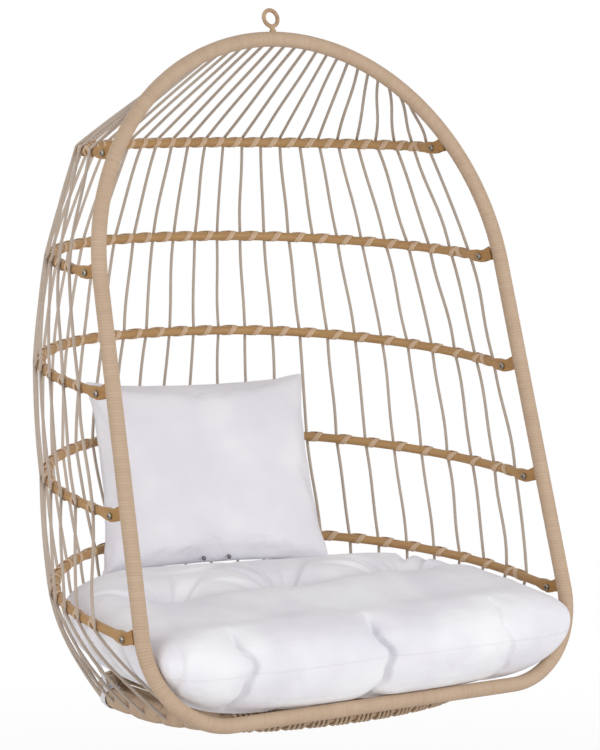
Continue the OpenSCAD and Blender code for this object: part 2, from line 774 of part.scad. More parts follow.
function seat_pt(a, q) = let (s = sin(abs(q)), edge = seat_edge(a, q > 0 ? 0 : 1 - pow(s, 6)),
                              r = (edge - seat_puffs(a, edge * cos(a)) * s) * s,
                              y = seat_mid_y + r * sin(a), w = r * cos(a),
                              x = w - sign(w) * seat_pinch * exp(-pow((y + 150) / 80, 2))
                                  * pow(min(1, abs(w) / seat_half), 4),
                              z = q > 0 ? seat_top * sqrt(1 - pow(s, 4)) + seat_lift(a) * pow(s, 3)
                                  : -seat_bottom * sqrt(1 - pow(s, 5)) + seat_lift(a) * pow(s, 8))
    [x, y, z - (q > 0 ? seat_dip(x, y) * min(1, (1 - pow(s, 6)) * 1.4) : 0)];
seat_turns = 56;
seat_steps = 8;
function seat_q(j) = (j <= seat_steps ? -j : 2 * seat_steps - j) * 90 / seat_steps;
seat_pts = concat([seat_pt(0, -0.001)],
                  [for (j = [1:2 * seat_steps - 1]) for (i = [0:seat_turns - 1])
                      seat_pt(i * 360 / seat_turns, seat_q(j))],
                  [seat_pt(0, 0.001)]);

// Faces of a closed skin of rings between a lower and an upper pole.
function skin_faces(n, rings) = concat(
    [for (i = [0:n - 1]) [0, 1 + i, 1 + (i + 1) % n]],
    [for (j = [0:rings - 2]) for (i = [0:n - 1]) let (m = (i + 1) % n, p = 1 + j * n, q = p + n)
        each [[p + i, q + i, q + m], [p + i, q + m, p + m]]],
    [for (i = [0:n - 1]) let (p = 1 + (rings - 1) * n) [p + i, 1 + rings * n, p + (i + 1) % n]]);

module seat_cushion() {
    color(linen_white)
        translate([0, seat_front_y, seat_seam_z])
            rotate([seat_tilt, 0, 0])
                translate([0, -seat_front_y, 0])
                    polyhedron(points = seat_pts, faces = skin_faces(seat_turns, 2 * seat_steps - 1),
                               convexity = 6);
}

// ---------------------------------------------------------------- back cushion

// u and v run from -1 to 1 across the pillow; the sides draw in between the corners.
function pillow_x(u, v) = pillow_w / 2 * u * (1 - 0.055 * (1 - v * v) * abs(u));
function pillow_z(u, v) = pillow_h / 2 * v * (1 - 0.055 * (1 - u * u) * abs(v));
function pillow_y(u, v) = pillow_t / 2 * pow(max(0, (1 - pow(abs(u), 2.6)) * (1 - pow(abs(v), 2.6))), 0.55);
function pillow_at(a, s, side) = let (k = s / max(abs(cos(a)), abs(sin(a))), u = k * cos(a), v = k * sin(a))
    [pillow_x(u, v), pillow_z(u, v), side * pillow_y(u, v)];
pillow_turns = 48;
pillow_steps = 7;
pillow_pts = concat([pillow_at(0, 0, -1)],
                    [for (j = [1:2 * pillow_steps - 1]) for (i = [0:pillow_turns - 1])
                        pillow_at(i * 360 / pillow_turns, sin(j * 90 / pillow_steps),
                                  j < pillow_steps ? -1 : 1)],
                    [pillow_at(0, 0, 1)]);

module back_cushion() {
    color(linen_white)
        translate([pillow_at_x, pillow_at_y, pillow_at_z])
            rotate([0, 0, pillow_yaw])
                rotate([-pillow_lean, 0, 0])
                    translate([0, 0, pillow_h / 2])
                        rotate([90, 0, 0])
                            polyhedron(points = pillow_pts, convexity = 4,
                                       faces = skin_faces(pillow_turns, 2 * pillow_steps - 1));
}

// ---------------------------------------------------------------- cushion ties

// Tape looped round the ring and up to the underside of the cushion, between two cords.
tie_q = 8 * cord_ring_pitch;
module cushion_ties() {
    at = bow_xy(ring, tie_q);
    color(linen_white)
        in_ring_plane()
            for (m = [0, 1])
                mirror([m, 0, 0])
                    translate([at[0], at[1], 0])
                        rotate([90, 0, 90 - bow_turn(ring, tie_q)])
                            translate([0, 0, -10])
                                linear_extrude(20)
                                    union() {
                                        difference() {
                                            circle(r = ring_r + 1.6, $fn = 40);
                                            circle(r = ring_r + 0.3, $fn = 40);
                                        }
                                        polygon([[5, 12.9], [6.8, 12], [18.6, 29.4], [33.6, 53], [32.4, 54],
                                                 [17.2, 30.4]]);
                                    }
}

// ---------------------------------------------------------------- assembly

function strand_name(i) = str("strand_", i < 10 ? "0" : "", i);

hoop_tube();
hoop_wrap();
hanging_eye();
rib_lugs();
rib_1();
rib_2();
rib_3();
rib_4();
rib_5();
rib_1_turns();
rib_2_turns();
rib_3_turns();
rib_4_turns();
rib_5_turns();
rib_screws();
rib_nuts();
seat_ring();
ring_wraps();
ring_lugs();
ring_screws();
seat_webbing();
seat_cushion();
cushion_ties();
back_cushion();
for (i = [1:cord_count])
    strand(i);
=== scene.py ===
"""Looks of a hanging egg chair: wound hoop, ochre ribs, cord basket, tufted cushions.

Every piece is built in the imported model's own frame, in metres: the origin is the
centre of the hanging eye, +Z is up and the sitter faces -Y.
"""

from __future__ import annotations

import json
import logging
import math
from dataclasses import dataclass, field
from enum import Enum
from typing import Any, Dict, List, Optional, Sequence, Tuple, Union

import bpy
import numpy as np
from mathutils import Matrix, Vector

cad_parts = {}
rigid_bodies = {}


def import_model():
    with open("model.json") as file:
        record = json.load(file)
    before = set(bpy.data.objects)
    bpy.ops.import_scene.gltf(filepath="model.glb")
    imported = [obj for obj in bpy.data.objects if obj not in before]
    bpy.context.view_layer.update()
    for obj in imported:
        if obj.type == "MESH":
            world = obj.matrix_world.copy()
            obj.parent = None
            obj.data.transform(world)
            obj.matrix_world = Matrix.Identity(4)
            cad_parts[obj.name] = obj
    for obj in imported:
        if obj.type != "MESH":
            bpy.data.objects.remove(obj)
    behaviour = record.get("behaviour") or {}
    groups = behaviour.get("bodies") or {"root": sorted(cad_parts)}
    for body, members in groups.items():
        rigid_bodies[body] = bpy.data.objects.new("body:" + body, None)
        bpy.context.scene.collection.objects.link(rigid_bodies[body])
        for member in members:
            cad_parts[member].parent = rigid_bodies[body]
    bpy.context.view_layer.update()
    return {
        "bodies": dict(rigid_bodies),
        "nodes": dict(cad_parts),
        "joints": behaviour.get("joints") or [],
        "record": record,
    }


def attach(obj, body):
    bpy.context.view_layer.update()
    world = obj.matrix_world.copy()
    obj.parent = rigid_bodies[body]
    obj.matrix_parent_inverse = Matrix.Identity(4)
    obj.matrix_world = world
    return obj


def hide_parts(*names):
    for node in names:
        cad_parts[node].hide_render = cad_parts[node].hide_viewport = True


LOG = logging.getLogger("egg_chair")
Point = np.ndarray
Value = Union[float, int, "Wire"]

UP = (0.0, 0.0, 1.0)
TINY = 1e-12
RING = 5  # number of the seat ring among the lines that the cords cross; 0 to 4 are the ribs


# ------------------------------------------------------------------ small helpers


def tone(red: float, green: float, blue: float) -> Tuple[float, float, float, float]:
    """Colour as the eye reads it, 0 to 255 a channel, turned into light values.

    Args:
        red: Red channel, 0 to 255.
        green: Green channel, 0 to 255.
        blue: Blue channel, 0 to 255.

    Returns:
        Linear red, green, blue and full alpha.
    """
    parts = []
    for part in (red, green, blue):
        c = part / 255.0
        parts.append(c / 12.92 if c <= 0.04045 else ((c + 0.055) / 1.055) ** 2.4)
    return (parts[0], parts[1], parts[2], 1.0)


def unit(v: Point) -> Point:
    """Vector of length one along v."""
    return v / np.linalg.norm(v)


def spoke(out: Point, up: Point, angle: float) -> Point:
    """Direction at an angle, in radians, from out towards up."""
    return math.cos(angle) * out + math.sin(angle) * up


def tilted(p: Sequence[float], degrees: float) -> Point:
    """Point turned about the X axis."""
    c, s = math.cos(math.radians(degrees)), math.sin(math.radians(degrees))
    return np.array([p[0], p[1] * c - p[2] * s, p[1] * s + p[2] * c])


def hashed(n: np.ndarray) -> np.ndarray:
    """Repeatable scatter from 0 to 1 for whole numbers."""
    return np.mod(np.sin(n * 12.9898 + 4.137) * 43758.5453, 1.0)


# ------------------------------------------------------------------ shader bench


class Wire:
    """Output of a shader node, with arithmetic that adds its own Math nodes."""

    def __init__(self, bench: "Bench", socket: Any) -> None:
        """Wraps one output socket of a bench's tree."""
        self.bench = bench
        self.socket = socket

    def __add__(self, other: Value) -> "Wire":
        """Sum of two values."""
        return self.bench.maths("ADD", self, other)

    __radd__ = __add__

    def __sub__(self, other: Value) -> "Wire":
        """This value less the other."""
        return self.bench.maths("SUBTRACT", self, other)

    def __rsub__(self, other: Value) -> "Wire":
        """The other value less this one."""
        return self.bench.maths("SUBTRACT", other, self)

    def __mul__(self, other: Value) -> "Wire":
        """Product of two values."""
        return self.bench.maths("MULTIPLY", self, other)

    __rmul__ = __mul__

    def __truediv__(self, other: Value) -> "Wire":
        """This value over the other."""
        return self.bench.maths("DIVIDE", self, other)

    def __pow__(self, other: Value) -> "Wire":
        """This value raised to the other."""
        return self.bench.maths("POWER", self, other)

    def sine(self) -> "Wire":
        """Sine of an angle in radians."""
        return self.bench.maths("SINE", self)

    def size(self) -> "Wire":
        """Value without its sign."""
        return self.bench.maths("ABSOLUTE", self)

    def rest(self) -> "Wire":
        """Part after the whole number."""
        return self.bench.maths("FRACT", self)

    def whole(self) -> "Wire":
        """Whole number at or below the value."""
        return self.bench.maths("FLOOR", self)

    def eased(self, low: float, high: float) -> "Wire":
        """Smooth step from 0 at low to 1 at high.

        Args:
            low: Value at which the step starts.
            high: Value at which it ends.

        Returns:
            The stepped value.
        """
        return self.bench.node(
            "ShaderNodeMapRange",
            {"interpolation_type": "SMOOTHSTEP"},
            {0: self, 1: low, 2: high, 3: 0.0, 4: 1.0},
        )


class Bench:
    """Work bench for one material: adds nodes, joins them and closes the shader."""

    def __init__(self, name: str) -> None:
        """Starts an empty material of that name.

        Args:
            name: The material's name.
        """
        self.material = bpy.data.materials.new(name)
        self.material.use_nodes = True
        self.tree = self.material.node_tree
        self.tree.nodes.clear()

    def node(
        self,
        kind: str,
        settings: Optional[Dict[str, Any]] = None,
        values: Optional[Dict[Union[int, str], Any]] = None,
        out: Union[int, str] = 0,
    ) -> Wire:
        """Adds one node.

        Args:
            kind: The node's type.
            settings: Properties set before anything is joined.
            values: Constants or wires for the inputs, by name or place.
            out: Which output to hand back.

        Returns:
            The chosen output.
        """
        made = self.tree.nodes.new(kind)
        for key, value in (settings or {}).items():
            setattr(made, key, value)
        for key, value in (values or {}).items():
            if isinstance(value, Wire):
                self.tree.links.new(value.socket, made.inputs[key])
            else:
                made.inputs[key].default_value = value
        return Wire(self, made.outputs[out])

    def maths(self, operation: str, *values: Value) -> Wire:
        """Adds one Math node on wires or numbers.

        Args:
            operation: What the node does.
            *values: Its inputs, in order.

        Returns:
            The result.
        """
        return self.node(
            "ShaderNodeMath", {"operation": operation}, dict(enumerate(values))
        )

    def place(self) -> Wire:
        """Object coordinates, in metres."""
        return self.node("ShaderNodeTexCoord", out="Object")

    def turned(self, where: Wire, shift: Sequence[float], turn: Sequence[float]) -> Wire:
        """Coordinates moved and then turned, the turn in degrees.

        Args:
            where: Coordinates to start from.
            shift: Move along each axis.
            turn: Turn about each axis.

        Returns:
            The new coordinates.
        """
        moved = self.node(
            "ShaderNodeMapping", None, {"Vector": where, "Location": tuple(shift)}
        )
        angles = tuple(math.radians(a) for a in turn)
        return self.node(
            "ShaderNodeMapping", None, {"Vector": moved, "Rotation": angles}
        )

    def scaled(self, where: Wire, scale: Sequence[float]) -> Wire:
        """Coordinates stretched by a factor on each axis.

        Args:
            where: Coordinates to start from.
            scale: Factor on each axis.

        Returns:
            The new coordinates.
        """
        return self.node(
            "ShaderNodeMapping", None, {"Vector": where, "Scale": tuple(scale)}
        )

    def axes(self, where: Wire) -> Tuple[Wire, Wire, Wire]:
        """The three numbers of a vector.

        Args:
            where: The vector.

        Returns:
            Its X, Y and Z.
        """
        split = self.tree.nodes.new("ShaderNodeSeparateXYZ")
        self.tree.links.new(where.socket, split.inputs[0])
        return tuple(Wire(self, split.outputs[i]) for i in range(3))

    def joined(self, x: Value, y: Value, z: Value) -> Wire:
        """Vector of three numbers."""
        return self.node("ShaderNodeCombineXYZ", None, {0: x, 1: y, 2: z})

    def skin_map(self) -> Tuple[Wire, Wire]:
        """Turn round the piece, 0 to 1, and length along it, in metres.

        Returns:
            The two values of the piece's own map.
        """
        where = self.node("ShaderNodeUVMap", {"uv_map": "skin"})
        u, v, _ = self.axes(where)
        return u, v

    def grain(
        self, where: Wire, scale: float, detail: float = 2.0, rough: float = 0.5
    ) -> Wire:
        """Cloudy noise about 0.5 at that many waves a metre.

        Args:
            where: Coordinates.
            scale: Waves a metre.
            detail: Finer layers of noise.
            rough: How strong those layers are.

        Returns:
            The noise, 0 to 1.
        """
        return self.node(
            "ShaderNodeTexNoise",
            None,
            {"Vector": where, "Scale": scale, "Detail": detail, "Roughness": rough},
        )

    def scatter(self, value: Wire) -> Wire:
        """A different number from 0 to 1 for each whole value.

        Args:
            value: A whole number.

        Returns:
            The number that belongs to it.
        """
        return self.node(
            "ShaderNodeTexWhiteNoise", {"noise_dimensions": "1D"}, {"W": value}
        )

    def mixed(self, mask: Value, first: Any, second: Any) -> Wire:
        """Colour from first, where the mask is 0, to second, where it is 1.

        Args:
            mask: Share of the second colour.
            first: Colour at 0.
            second: Colour at 1.

        Returns:
            The mixed colour.
        """
        return self.node(
            "ShaderNodeMix", {"data_type": "RGBA"}, {0: mask, 6: first, 7: second}, 2
        )

    def finish(
        self,
        colour: Any,
        rough: Value,
        metal: float = 0.0,
        height: Optional[Wire] = None,
        relief: float = 0.0,
        extras: Optional[Dict[str, float]] = None,
    ) -> bpy.types.Material:
        """Closes the material with its one shader.

        Args:
            colour: Base colour, a constant or a wire.
            rough: Roughness.
            metal: Metallic share.
            height: Surface height, 0 to 1, for the bump.
            relief: Depth in metres that a height of 1 stands for.
            extras: Further constants for the shader's own sockets.

        Returns:
            The finished material.
        """
        values: Dict[Union[int, str], Any] = {
            "Base Color": colour,
            "Roughness": rough,
            "Metallic": metal,
        }
        values.update(extras or {})
        if height is not None:
            values["Normal"] = self.node(
                "ShaderNodeBump", None, {"Strength": 1.0, "Distance": relief, "Height": height}
            )
        return self.close(self.node("ShaderNodeBsdfPrincipled", None, values))

    def close(self, shader: Wire) -> bpy.types.Material:
        """Joins the last shader to the material's output.

        Args:
            shader: The last shader.

        Returns:
            The finished material.
        """
        end = self.tree.nodes.new("ShaderNodeOutputMaterial")
        self.tree.links.new(shader.socket, end.inputs["Surface"])
        return self.material


# ------------------------------------------------------------------ finishes


@dataclass(frozen=True)
class WoundStrip:
    """Flat beige strip wound edge to edge round a tube."""

    name: str = "wound_strip"
    pitch: float = 0.0052
    light: Tuple[float, float, float] = (208, 183, 158)
    dark: Tuple[float, float, float] = (178, 151, 124)

    def make(self) -> bpy.types.Material:
        """Shades each turn on its own, with fibres along it and a dark joint.

        Returns:
            The finished material.
        """
        b = Bench(self.name)
        u, v = b.skin_map()
        turn = v / self.pitch + u
        number = turn.whole()
        edge = ((turn.rest() - 0.5).size() * 2.0) ** 12.0
        open_joint = b.scatter(number + 0.5).eased(0.35, 0.9)
        fibre = b.grain(b.joined(u * 9.0, turn * 5.0, number * 0.37), 1.0, 3.0, 0.6)
        patch = b.grain(b.joined(u * 1.5, v * 9.0, 0.0), 1.0, 2.0, 0.5)
        shade = b.scatter(number) * 0.16 + fibre * 0.24 + patch * 0.5 - 0.02
        colour = b.mixed(shade, tone(*self.dark), tone(*self.light))
        colour = b.mixed(edge * (0.12 + 0.45 * open_joint), colour, tone(126, 100, 76))
        height = (1.0 - edge) * 0.8 + fibre * 0.2
        return b.finish(colour, 0.62, 0.0, height, 0.0005, {"Specular IOR Level": 0.35})


@dataclass(frozen=True)
class RibPaint:
    """Ochre rib finish with brown streaks along the rib."""

    name: str = "rib_paint"
    rise: float = 0.0
    light: Tuple[float, float, float] = (194, 155, 104)
    dark: Tuple[float, float, float] = (150, 111, 68)

    def make(self) -> bpy.types.Material:
        """Streaks lie level with the rib's own plane.

        Returns:
            The finished material.
        """
        b = Bench(self.name)
        level = b.turned(b.place(), (0, 0, 0), (-self.rise, 0, 0))
        streak = b.grain(b.scaled(level, (9.0, 9.0, 900.0)), 1.0, 4.0, 0.6)
        broad = b.grain(b.scaled(level, (14.0, 14.0, 120.0)), 1.0, 2.0, 0.5)
        spot = b.grain(b.scaled(level, (90.0, 90.0, 260.0)), 1.0, 2.0, 0.5).eased(0.62, 0.75)
        shade = streak * 0.8 + broad * 0.6 - 0.2
        colour = b.mixed(shade, tone(*self.dark), tone(*self.light))
        colour = b.mixed(spot * 0.35, colour, tone(120, 82, 42))
        rough = streak * 0.14 + 0.42
        return b.finish(colour, rough, 0.0, streak, 0.00035, {"Specular IOR Level": 0.4})


@dataclass(frozen=True)
class CordSkin:
    """Smooth round synthetic cane with faint streaks along it."""

    name: str = "cord_skin"
    light: Tuple[float, float, float] = (202, 187, 172)
    dark: Tuple[float, float, float] = (164, 149, 134)

    def make(self) -> bpy.types.Material:
        """Streaks run along the cord, and its tone drifts from place to place.

        Returns:
            The finished material.
        """
        b = Bench(self.name)
        u, v = b.skin_map()
        streak = b.grain(b.joined(u * 7.0, v * 24.0, 0.3), 1.0, 3.0, 0.6)
        drift = b.grain(b.joined(0.5, v * 9.0, u * 0.6), 1.0, 2.0, 0.5)
        shade = streak * 0.7 + drift * 0.7 - 0.2
        colour = b.mixed(shade, tone(*self.dark), tone(*self.light))
        return b.finish(colour, 0.58, 0.0, streak, 0.0003, {"Specular IOR Level": 0.35})


@dataclass(frozen=True)
class BrightSteel:
    """Zinc-bright steel of the screws and nuts."""

    name: str = "bright_steel"

    def make(self) -> bpy.types.Material:
        """Bright metal, a little brushed and smudged.

        Returns:
            The finished material.
        """
        b = Bench(self.name)
        smudge = b.grain(b.place(), 420.0, 3.0, 0.6)
        colour = b.mixed(smudge, tone(112, 104, 96), tone(168, 160, 150))
        return b.finish(colour, smudge * 0.22 + 0.20, 1.0, smudge, 0.00005)


@dataclass(frozen=True)
class PaintedSteel:
    """Powder-coated steel with a fine orange-peel surface."""

    name: str = "painted_steel"
    light: Tuple[float, float, float] = (196, 170, 140)
    dark: Tuple[float, float, float] = (168, 138, 106)

    def make(self) -> bpy.types.Material:
        """Even paint, slightly worn darker in places.

        Returns:
            The finished material.
        """
        b = Bench(self.name)
        peel = b.grain(b.place(), 900.0, 2.0, 0.5)
        wear = b.grain(b.place(), 60.0, 4.0, 0.6)
        colour = b.mixed(wear.eased(0.35, 0.7), tone(*self.light), tone(*self.dark))
        rough = wear * 0.16 + 0.42
        return b.finish(colour, rough, 0.0, peel, 0.00008, {"Specular IOR Level": 0.45})


@dataclass(frozen=True)
class CushionCloth:
    """White plain-woven cover cloth."""

    name: str = "cushion_cloth"
    shift: Tuple[float, float, float] = (0.0, 0.0, 0.0)
    turn: Tuple[float, float, float] = (0.0, 0.0, 0.0)
    light: Tuple[float, float, float] = (243, 243, 245)
    shade: Tuple[float, float, float] = (229, 227, 234)
    seam_half: float = 0.0011

    def make(self) -> bpy.types.Material:
        """Fine crossed threads, soft puckers, and a sewn seam where the local Z is 0.

        Returns:
            The finished material.
        """
        b = Bench(self.name)
        local = b.turned(b.place(), self.shift, self.turn)
        x, y, z = b.axes(local)
        thread = ((x * 5200.0).sine() + (y * 5200.0).sine()) * (z * 5200.0).sine()
        pucker = b.grain(b.scaled(local, (30.0, 30.0, 55.0)), 1.0, 3.0, 0.55)
        broad = b.grain(local, 7.0, 2.0, 0.5)
        seam = 1.0 - z.size().eased(self.seam_half * 0.5, self.seam_half * 2.2)
        stitch = b.grain(b.scaled(local, (260.0, 260.0, 40.0)), 1.0, 1.0, 0.5)
        colour = b.mixed(broad.eased(0.3, 0.75), tone(*self.shade), tone(*self.light))
        colour = b.mixed(seam * 0.10, colour, tone(205, 202, 208))
        height = pucker * 0.75 + thread * 0.012 + seam * (0.16 + 0.1 * stitch)
        return b.finish(
            colour, 0.86, 0.0, height, 0.0022,
            {"Specular IOR Level": 0.22, "Sheen Weight": 0.12, "Sheen Roughness": 0.5},
        )


@dataclass(frozen=True)
class TapeCloth:
    """Woven white tape."""

    name: str = "tape_cloth"

    def make(self) -> bpy.types.Material:
        """Ribs across the tape.

        Returns:
            The finished material.
        """
        b = Bench(self.name)
        u, v = b.skin_map()
        rib = (v * 4200.0).sine() * 0.5 + 0.5
        fray = b.grain(b.joined(u * 30.0, v * 300.0, 0.0), 1.0, 2.0, 0.6)
        colour = b.mixed(rib * 0.5 + fray * 0.4, tone(214, 212, 216), tone(240, 240, 242))
        return b.finish(colour, 0.85, 0.0, rib * 0.6 + fray * 0.4, 0.0003)


@dataclass(frozen=True)
class StudFinish:
    """Dark metal of the back cushion's snap studs."""

    name: str = "snap_stud"

    def make(self) -> bpy.types.Material:
        """Gunmetal with fine scratches.

        Returns:
            The finished material.
        """
        b = Bench(self.name)
        scratch = b.grain(b.place(), 1500.0, 2.0, 0.6)
        colour = b.mixed(scratch, tone(70, 68, 74), tone(120, 118, 124))
        return b.finish(colour, scratch * 0.2 + 0.3, 0.8, scratch, 0.00004)


# ------------------------------------------------------------------ layout


@dataclass(frozen=True)
class Bow:
    """A symmetric bow: a leg, a side arc and half a crown on each side, all tangent.

    Attributes:
        half: Half width.
        depth: From the line between the ends to the back.
        leg: Length of each straight leg.
        crown: Radius of the crown.
    """

    half: float
    depth: float
    leg: float
    crown: float

    @property
    def side(self) -> float:
        """Radius of the side arcs."""
        rise = self.depth - self.leg
        return (2 * self.crown * rise - self.half**2 - rise**2) / (2 * (self.crown - self.half))

    @property
    def crown_half(self) -> float:
        """Half angle of the crown, in radians.

        Returns:
            The angle from +Y to the crown's end.
        """
        if self.crown > self.side:
            return math.atan2(self.half - self.side, self.leg - self.depth + self.crown)
        return math.atan2(self.side - self.half, self.depth - self.crown - self.leg)

    @property
    def crown_length(self) -> float:
        """Length of half the crown."""
        return self.crown * self.crown_half

    @property
    def half_length(self) -> float:
        """Length from the back to one end."""
        return self.leg + self.side * (math.pi / 2 - self.crown_half) + self.crown_length

    def turn(self, q: float) -> float:
        """Angle of the outward normal from +Y at length q from the back, in radians.

        Args:
            q: Length from the back.

        Returns:
            The angle.
        """
        if q < self.crown_length:
            return q / self.crown
        return min(math.pi / 2, self.crown_half + (q - self.crown_length) / self.side)

    def point(self, q: float) -> Tuple[float, float]:
        """X and Y at length q from the back.

        Args:
            q: Length from the back.

        Returns:
            The place in the bow's own plane.
        """
        a = self.turn(q)
        if q < self.crown_length:
            return self.crown * math.sin(a), self.depth - self.crown + self.crown * math.cos(a)
        if q < self.half_length - self.leg:
            across = self.half - self.side + self.side * math.sin(a)
            return across, self.leg + self.side * math.cos(a)
        return self.half, self.half_length - q


@dataclass(frozen=True)
class Layout:
    """Where the hoop, the ribs, the ring and the cords lie, in metres and degrees.

    Attributes:
        hang: Lean of the hoop as the chair hangs.
        arch_r: Radius of the arch's centreline.
        eye_to_hoop: From the eye down to the top of that line.
        splay: Lean of the straight limbs away from upright.
        corner_r: Radius of the lower corners.
        rail_drop: From the eye down the hoop to its rail.
        hoop_r: Radius of the wound hoop.
        rib_r: Radius of the ribs.
        ring_r: Radius of the seat ring.
        cord_r: Radius of the cords.
        bolt_first: From the eye down the hoop to the upper rib's bolts.
        bolt_step: From one rib's bolts to the next.
        bolt_back: From the hoop's middle plane back to the bolts.
        cords: Number of cords.
        arch_half: Half angle of the arch that the cords cover.
        ring_pitch: Spacing of the cords along the ring.
        belly_rib: Outward bulge of the spans that end on a rib.
        belly_low: Outward bulge of the lowest span.
        leave: Angle at which the cords leave the ring.
        ribs: Bow of each rib, from the top down.
        tilts: Rise of each rib towards the back.
        end_gaps: Length at each rib's ends that has no cord.
        ring: Bow of either half of the ring.
        ring_front: Y and Z of the ring's front.
        ring_tilt: Rise of the ring towards the back.
    """

    hang: float = 14.81
    arch_r: float = 0.435
    eye_to_hoop: float = 0.038
    splay: float = 2.2
    corner_r: float = 0.155
    rail_drop: float = 1.214
    hoop_r: float = 0.0133
    rib_r: float = 0.008
    ring_r: float = 0.0125
    cord_r: float = 0.0028
    bolt_first: float = 0.2284
    bolt_step: float = 0.205
    bolt_back: float = 0.0415
    cords: int = 28
    arch_half: float = 39.3
    ring_pitch: float = 0.0445
    belly_rib: float = 0.003
    belly_low: float = 0.018
    leave: float = -60.0
    ribs: Tuple[Bow, ...] = (
        Bow(0.3575, 0.2886, 0.040, 0.4056),
        Bow(0.428, 0.400, 0.002, 0.620),
        Bow(0.441, 0.473, 0.075, 0.700),
        Bow(0.4494, 0.560, 0.060, 0.380),
        Bow(0.461, 0.5408, 0.090, 0.698),
    )
    tilts: Tuple[float, ...] = (1.86, 4.67, 6.37, 5.79, 7.41)
    end_gaps: Tuple[float, ...] = (0.036, 0.048, 0.048, 0.047, 0.079)
    ring: Bow = Bow(0.318, 0.232, 0.024, 0.700)
    ring_front: Tuple[float, float] = (-0.262, -1.194)
    ring_tilt: float = 3.0

    @property
    def arch_drop(self) -> float:
        """Distance from the eye to the arch's centre."""
        return self.eye_to_hoop + self.arch_r

    def hoop(self, x: float, s: float, n: float = 0.0) -> Point:
        """Point of the hoop plane: x across, s down from the eye, n behind the plane."""
        c, k = math.cos(math.radians(self.hang)), math.sin(math.radians(self.hang))
        return np.array([x, -s * k + n * c, -s * c - n * k])

    @property
    def corner(self) -> Tuple[float, float]:
        """Centre of a lower corner: across, and down the hoop.

        Returns:
            Both distances.
        """
        sp = math.radians(self.splay)
        s = self.rail_drop - self.corner_r
        wide = self.arch_r * math.cos(sp)
        wide += math.tan(sp) * (s - self.arch_drop + self.arch_r * math.sin(sp))
        return wide - self.corner_r / math.cos(sp), s

    def arch(self, u: float) -> Point:
        """Where cord u meets the arch's centreline."""
        a = math.radians(u * 2 * self.arch_half / (self.cords - 1))
        return self.hoop(self.arch_r * math.sin(a), self.arch_drop - self.arch_r * math.cos(a))

    def bolt(self, k: int) -> Point:
        """Middle between the two bolts of rib k."""
        return self.hoop(0.0, self.bolt_first + self.bolt_step * k, self.bolt_back)

    def rib_pitch(self, k: int) -> float:
        """Spacing of the cords along rib k."""
        return 2 * (self.ribs[k].half_length - self.end_gaps[k]) / (self.cords - 1)

    def from_middle(self, i: int) -> float:
        """Signed number of cord i, counted from the middle."""
        return i - (self.cords + 1) / 2

    def line_q(self, k: int, u: float) -> float:
        """Signed length along rib k, or the ring, where cord u crosses it."""
        return u * (self.rib_pitch(k) if k < RING else self.ring_pitch)

    def line_at(self, k: int, q: float) -> Tuple[Point, Point, Point]:
        """Centre, outward and upward directions at signed length q of rib k or the ring.

        Args:
            k: Number of the rib, or RING.
            q: Length from the middle of its back, negative towards -X.

        Returns:
            The three, in the chair's frame.
        """
        side, size = math.copysign(1.0, q), abs(q)
        if k < RING:
            bow, tilt, base, middle = self.ribs[k], self.tilts[k], self.bolt(k), 0.0
        else:
            bow, tilt, base = self.ring, self.ring_tilt, np.array([0.0, *self.ring_front])
            middle = bow.depth
        front = k == RING and size > bow.half_length
        p = 2 * bow.half_length - size if front else size
        sign = -1.0 if front else 1.0
        a = bow.turn(p)
        x, y = bow.point(p)
        centre = base + tilted((side * x, middle + sign * y, 0.0), tilt)
        return (centre, tilted((side * math.sin(a), sign * math.cos(a), 0.0), tilt),
                tilted(UP, tilt))

    def cross(self, k: int, u: float) -> Tuple[Point, Point, Point]:
        """Centre, outward and upward directions where cord u crosses line k."""
        return self.line_at(k, self.line_q(k, u))

    def knot(self, j: int, u: float) -> Point:
        """Centre of the tube that span j of cord u comes from."""
        return self.arch(u) if j == 0 else self.cross(j - 1, u)[0]

    def belly(self, j: int) -> float:
        """Outward bulge of span j."""
        return self.belly_low if j == RING else self.belly_rib

    def span_out(self, j: int, u: float) -> Point:
        """Level direction in which span j bulges.

        Args:
            j: Number of the span, from the hoop down.
            u: The cord's signed number from the middle.

        Returns:
            The direction.
        """
        n = self.cross(j, u)[1]
        if j > 0:
            n = self.cross(j - 1, u)[1] + n
        return unit(np.array([n[0], n[1], 0.0]))

    def angle_in(self, k: int, u: float) -> float:
        """Angle, in radians, at which cord u comes down onto line k.

        Args:
            k: Number of the rib, or RING.
            u: The cord's signed number from the middle.

        Returns:
            The angle, from outward towards up.
        """
        _, n, up = self.cross(k, u)
        d = self.knot(k, u) - self.knot(k + 1, u) + self.span_out(k, u) * 4 * self.belly(k)
        return math.atan2(-float(d @ n), float(d @ up))

    def angle_out(self, k: int, u: float) -> float:
        """Angle, in radians, at which cord u leaves line k.

        Args:
            k: Number of the rib, or RING.
            u: The cord's signed number from the middle.

        Returns:
            The angle, from outward towards up.
        """
        if k == RING:
            return math.radians(self.leave)
        _, n, up = self.cross(k, u)
        bulge = self.span_out(k + 1, u) * 4 * self.belly(k + 1)
        d = self.knot(k + 2, u) - self.knot(k + 1, u) + bulge
        return math.atan2(float(d @ n), -float(d @ up))

    def touch(self, k: int, u: float, angle: float, r: float) -> Point:
        """Point at that angle and radius from line k where cord u crosses it."""
        c, n, up = self.cross(k, u)
        return c + r * spoke(n, up, angle)


# ------------------------------------------------------------------ swept skins


def placed(mesh: bpy.types.Mesh) -> bpy.types.Object:
    """Smooths a mesh and puts it into the scene as an object of the same name.

    Args:
        mesh: The mesh.

    Returns:
        The new object.
    """
    mesh.polygons.foreach_set("use_smooth", np.ones(len(mesh.polygons), dtype=bool))
    mesh.update()
    obj = bpy.data.objects.new(mesh.name, mesh)
    bpy.context.scene.collection.objects.link(obj)
    return obj


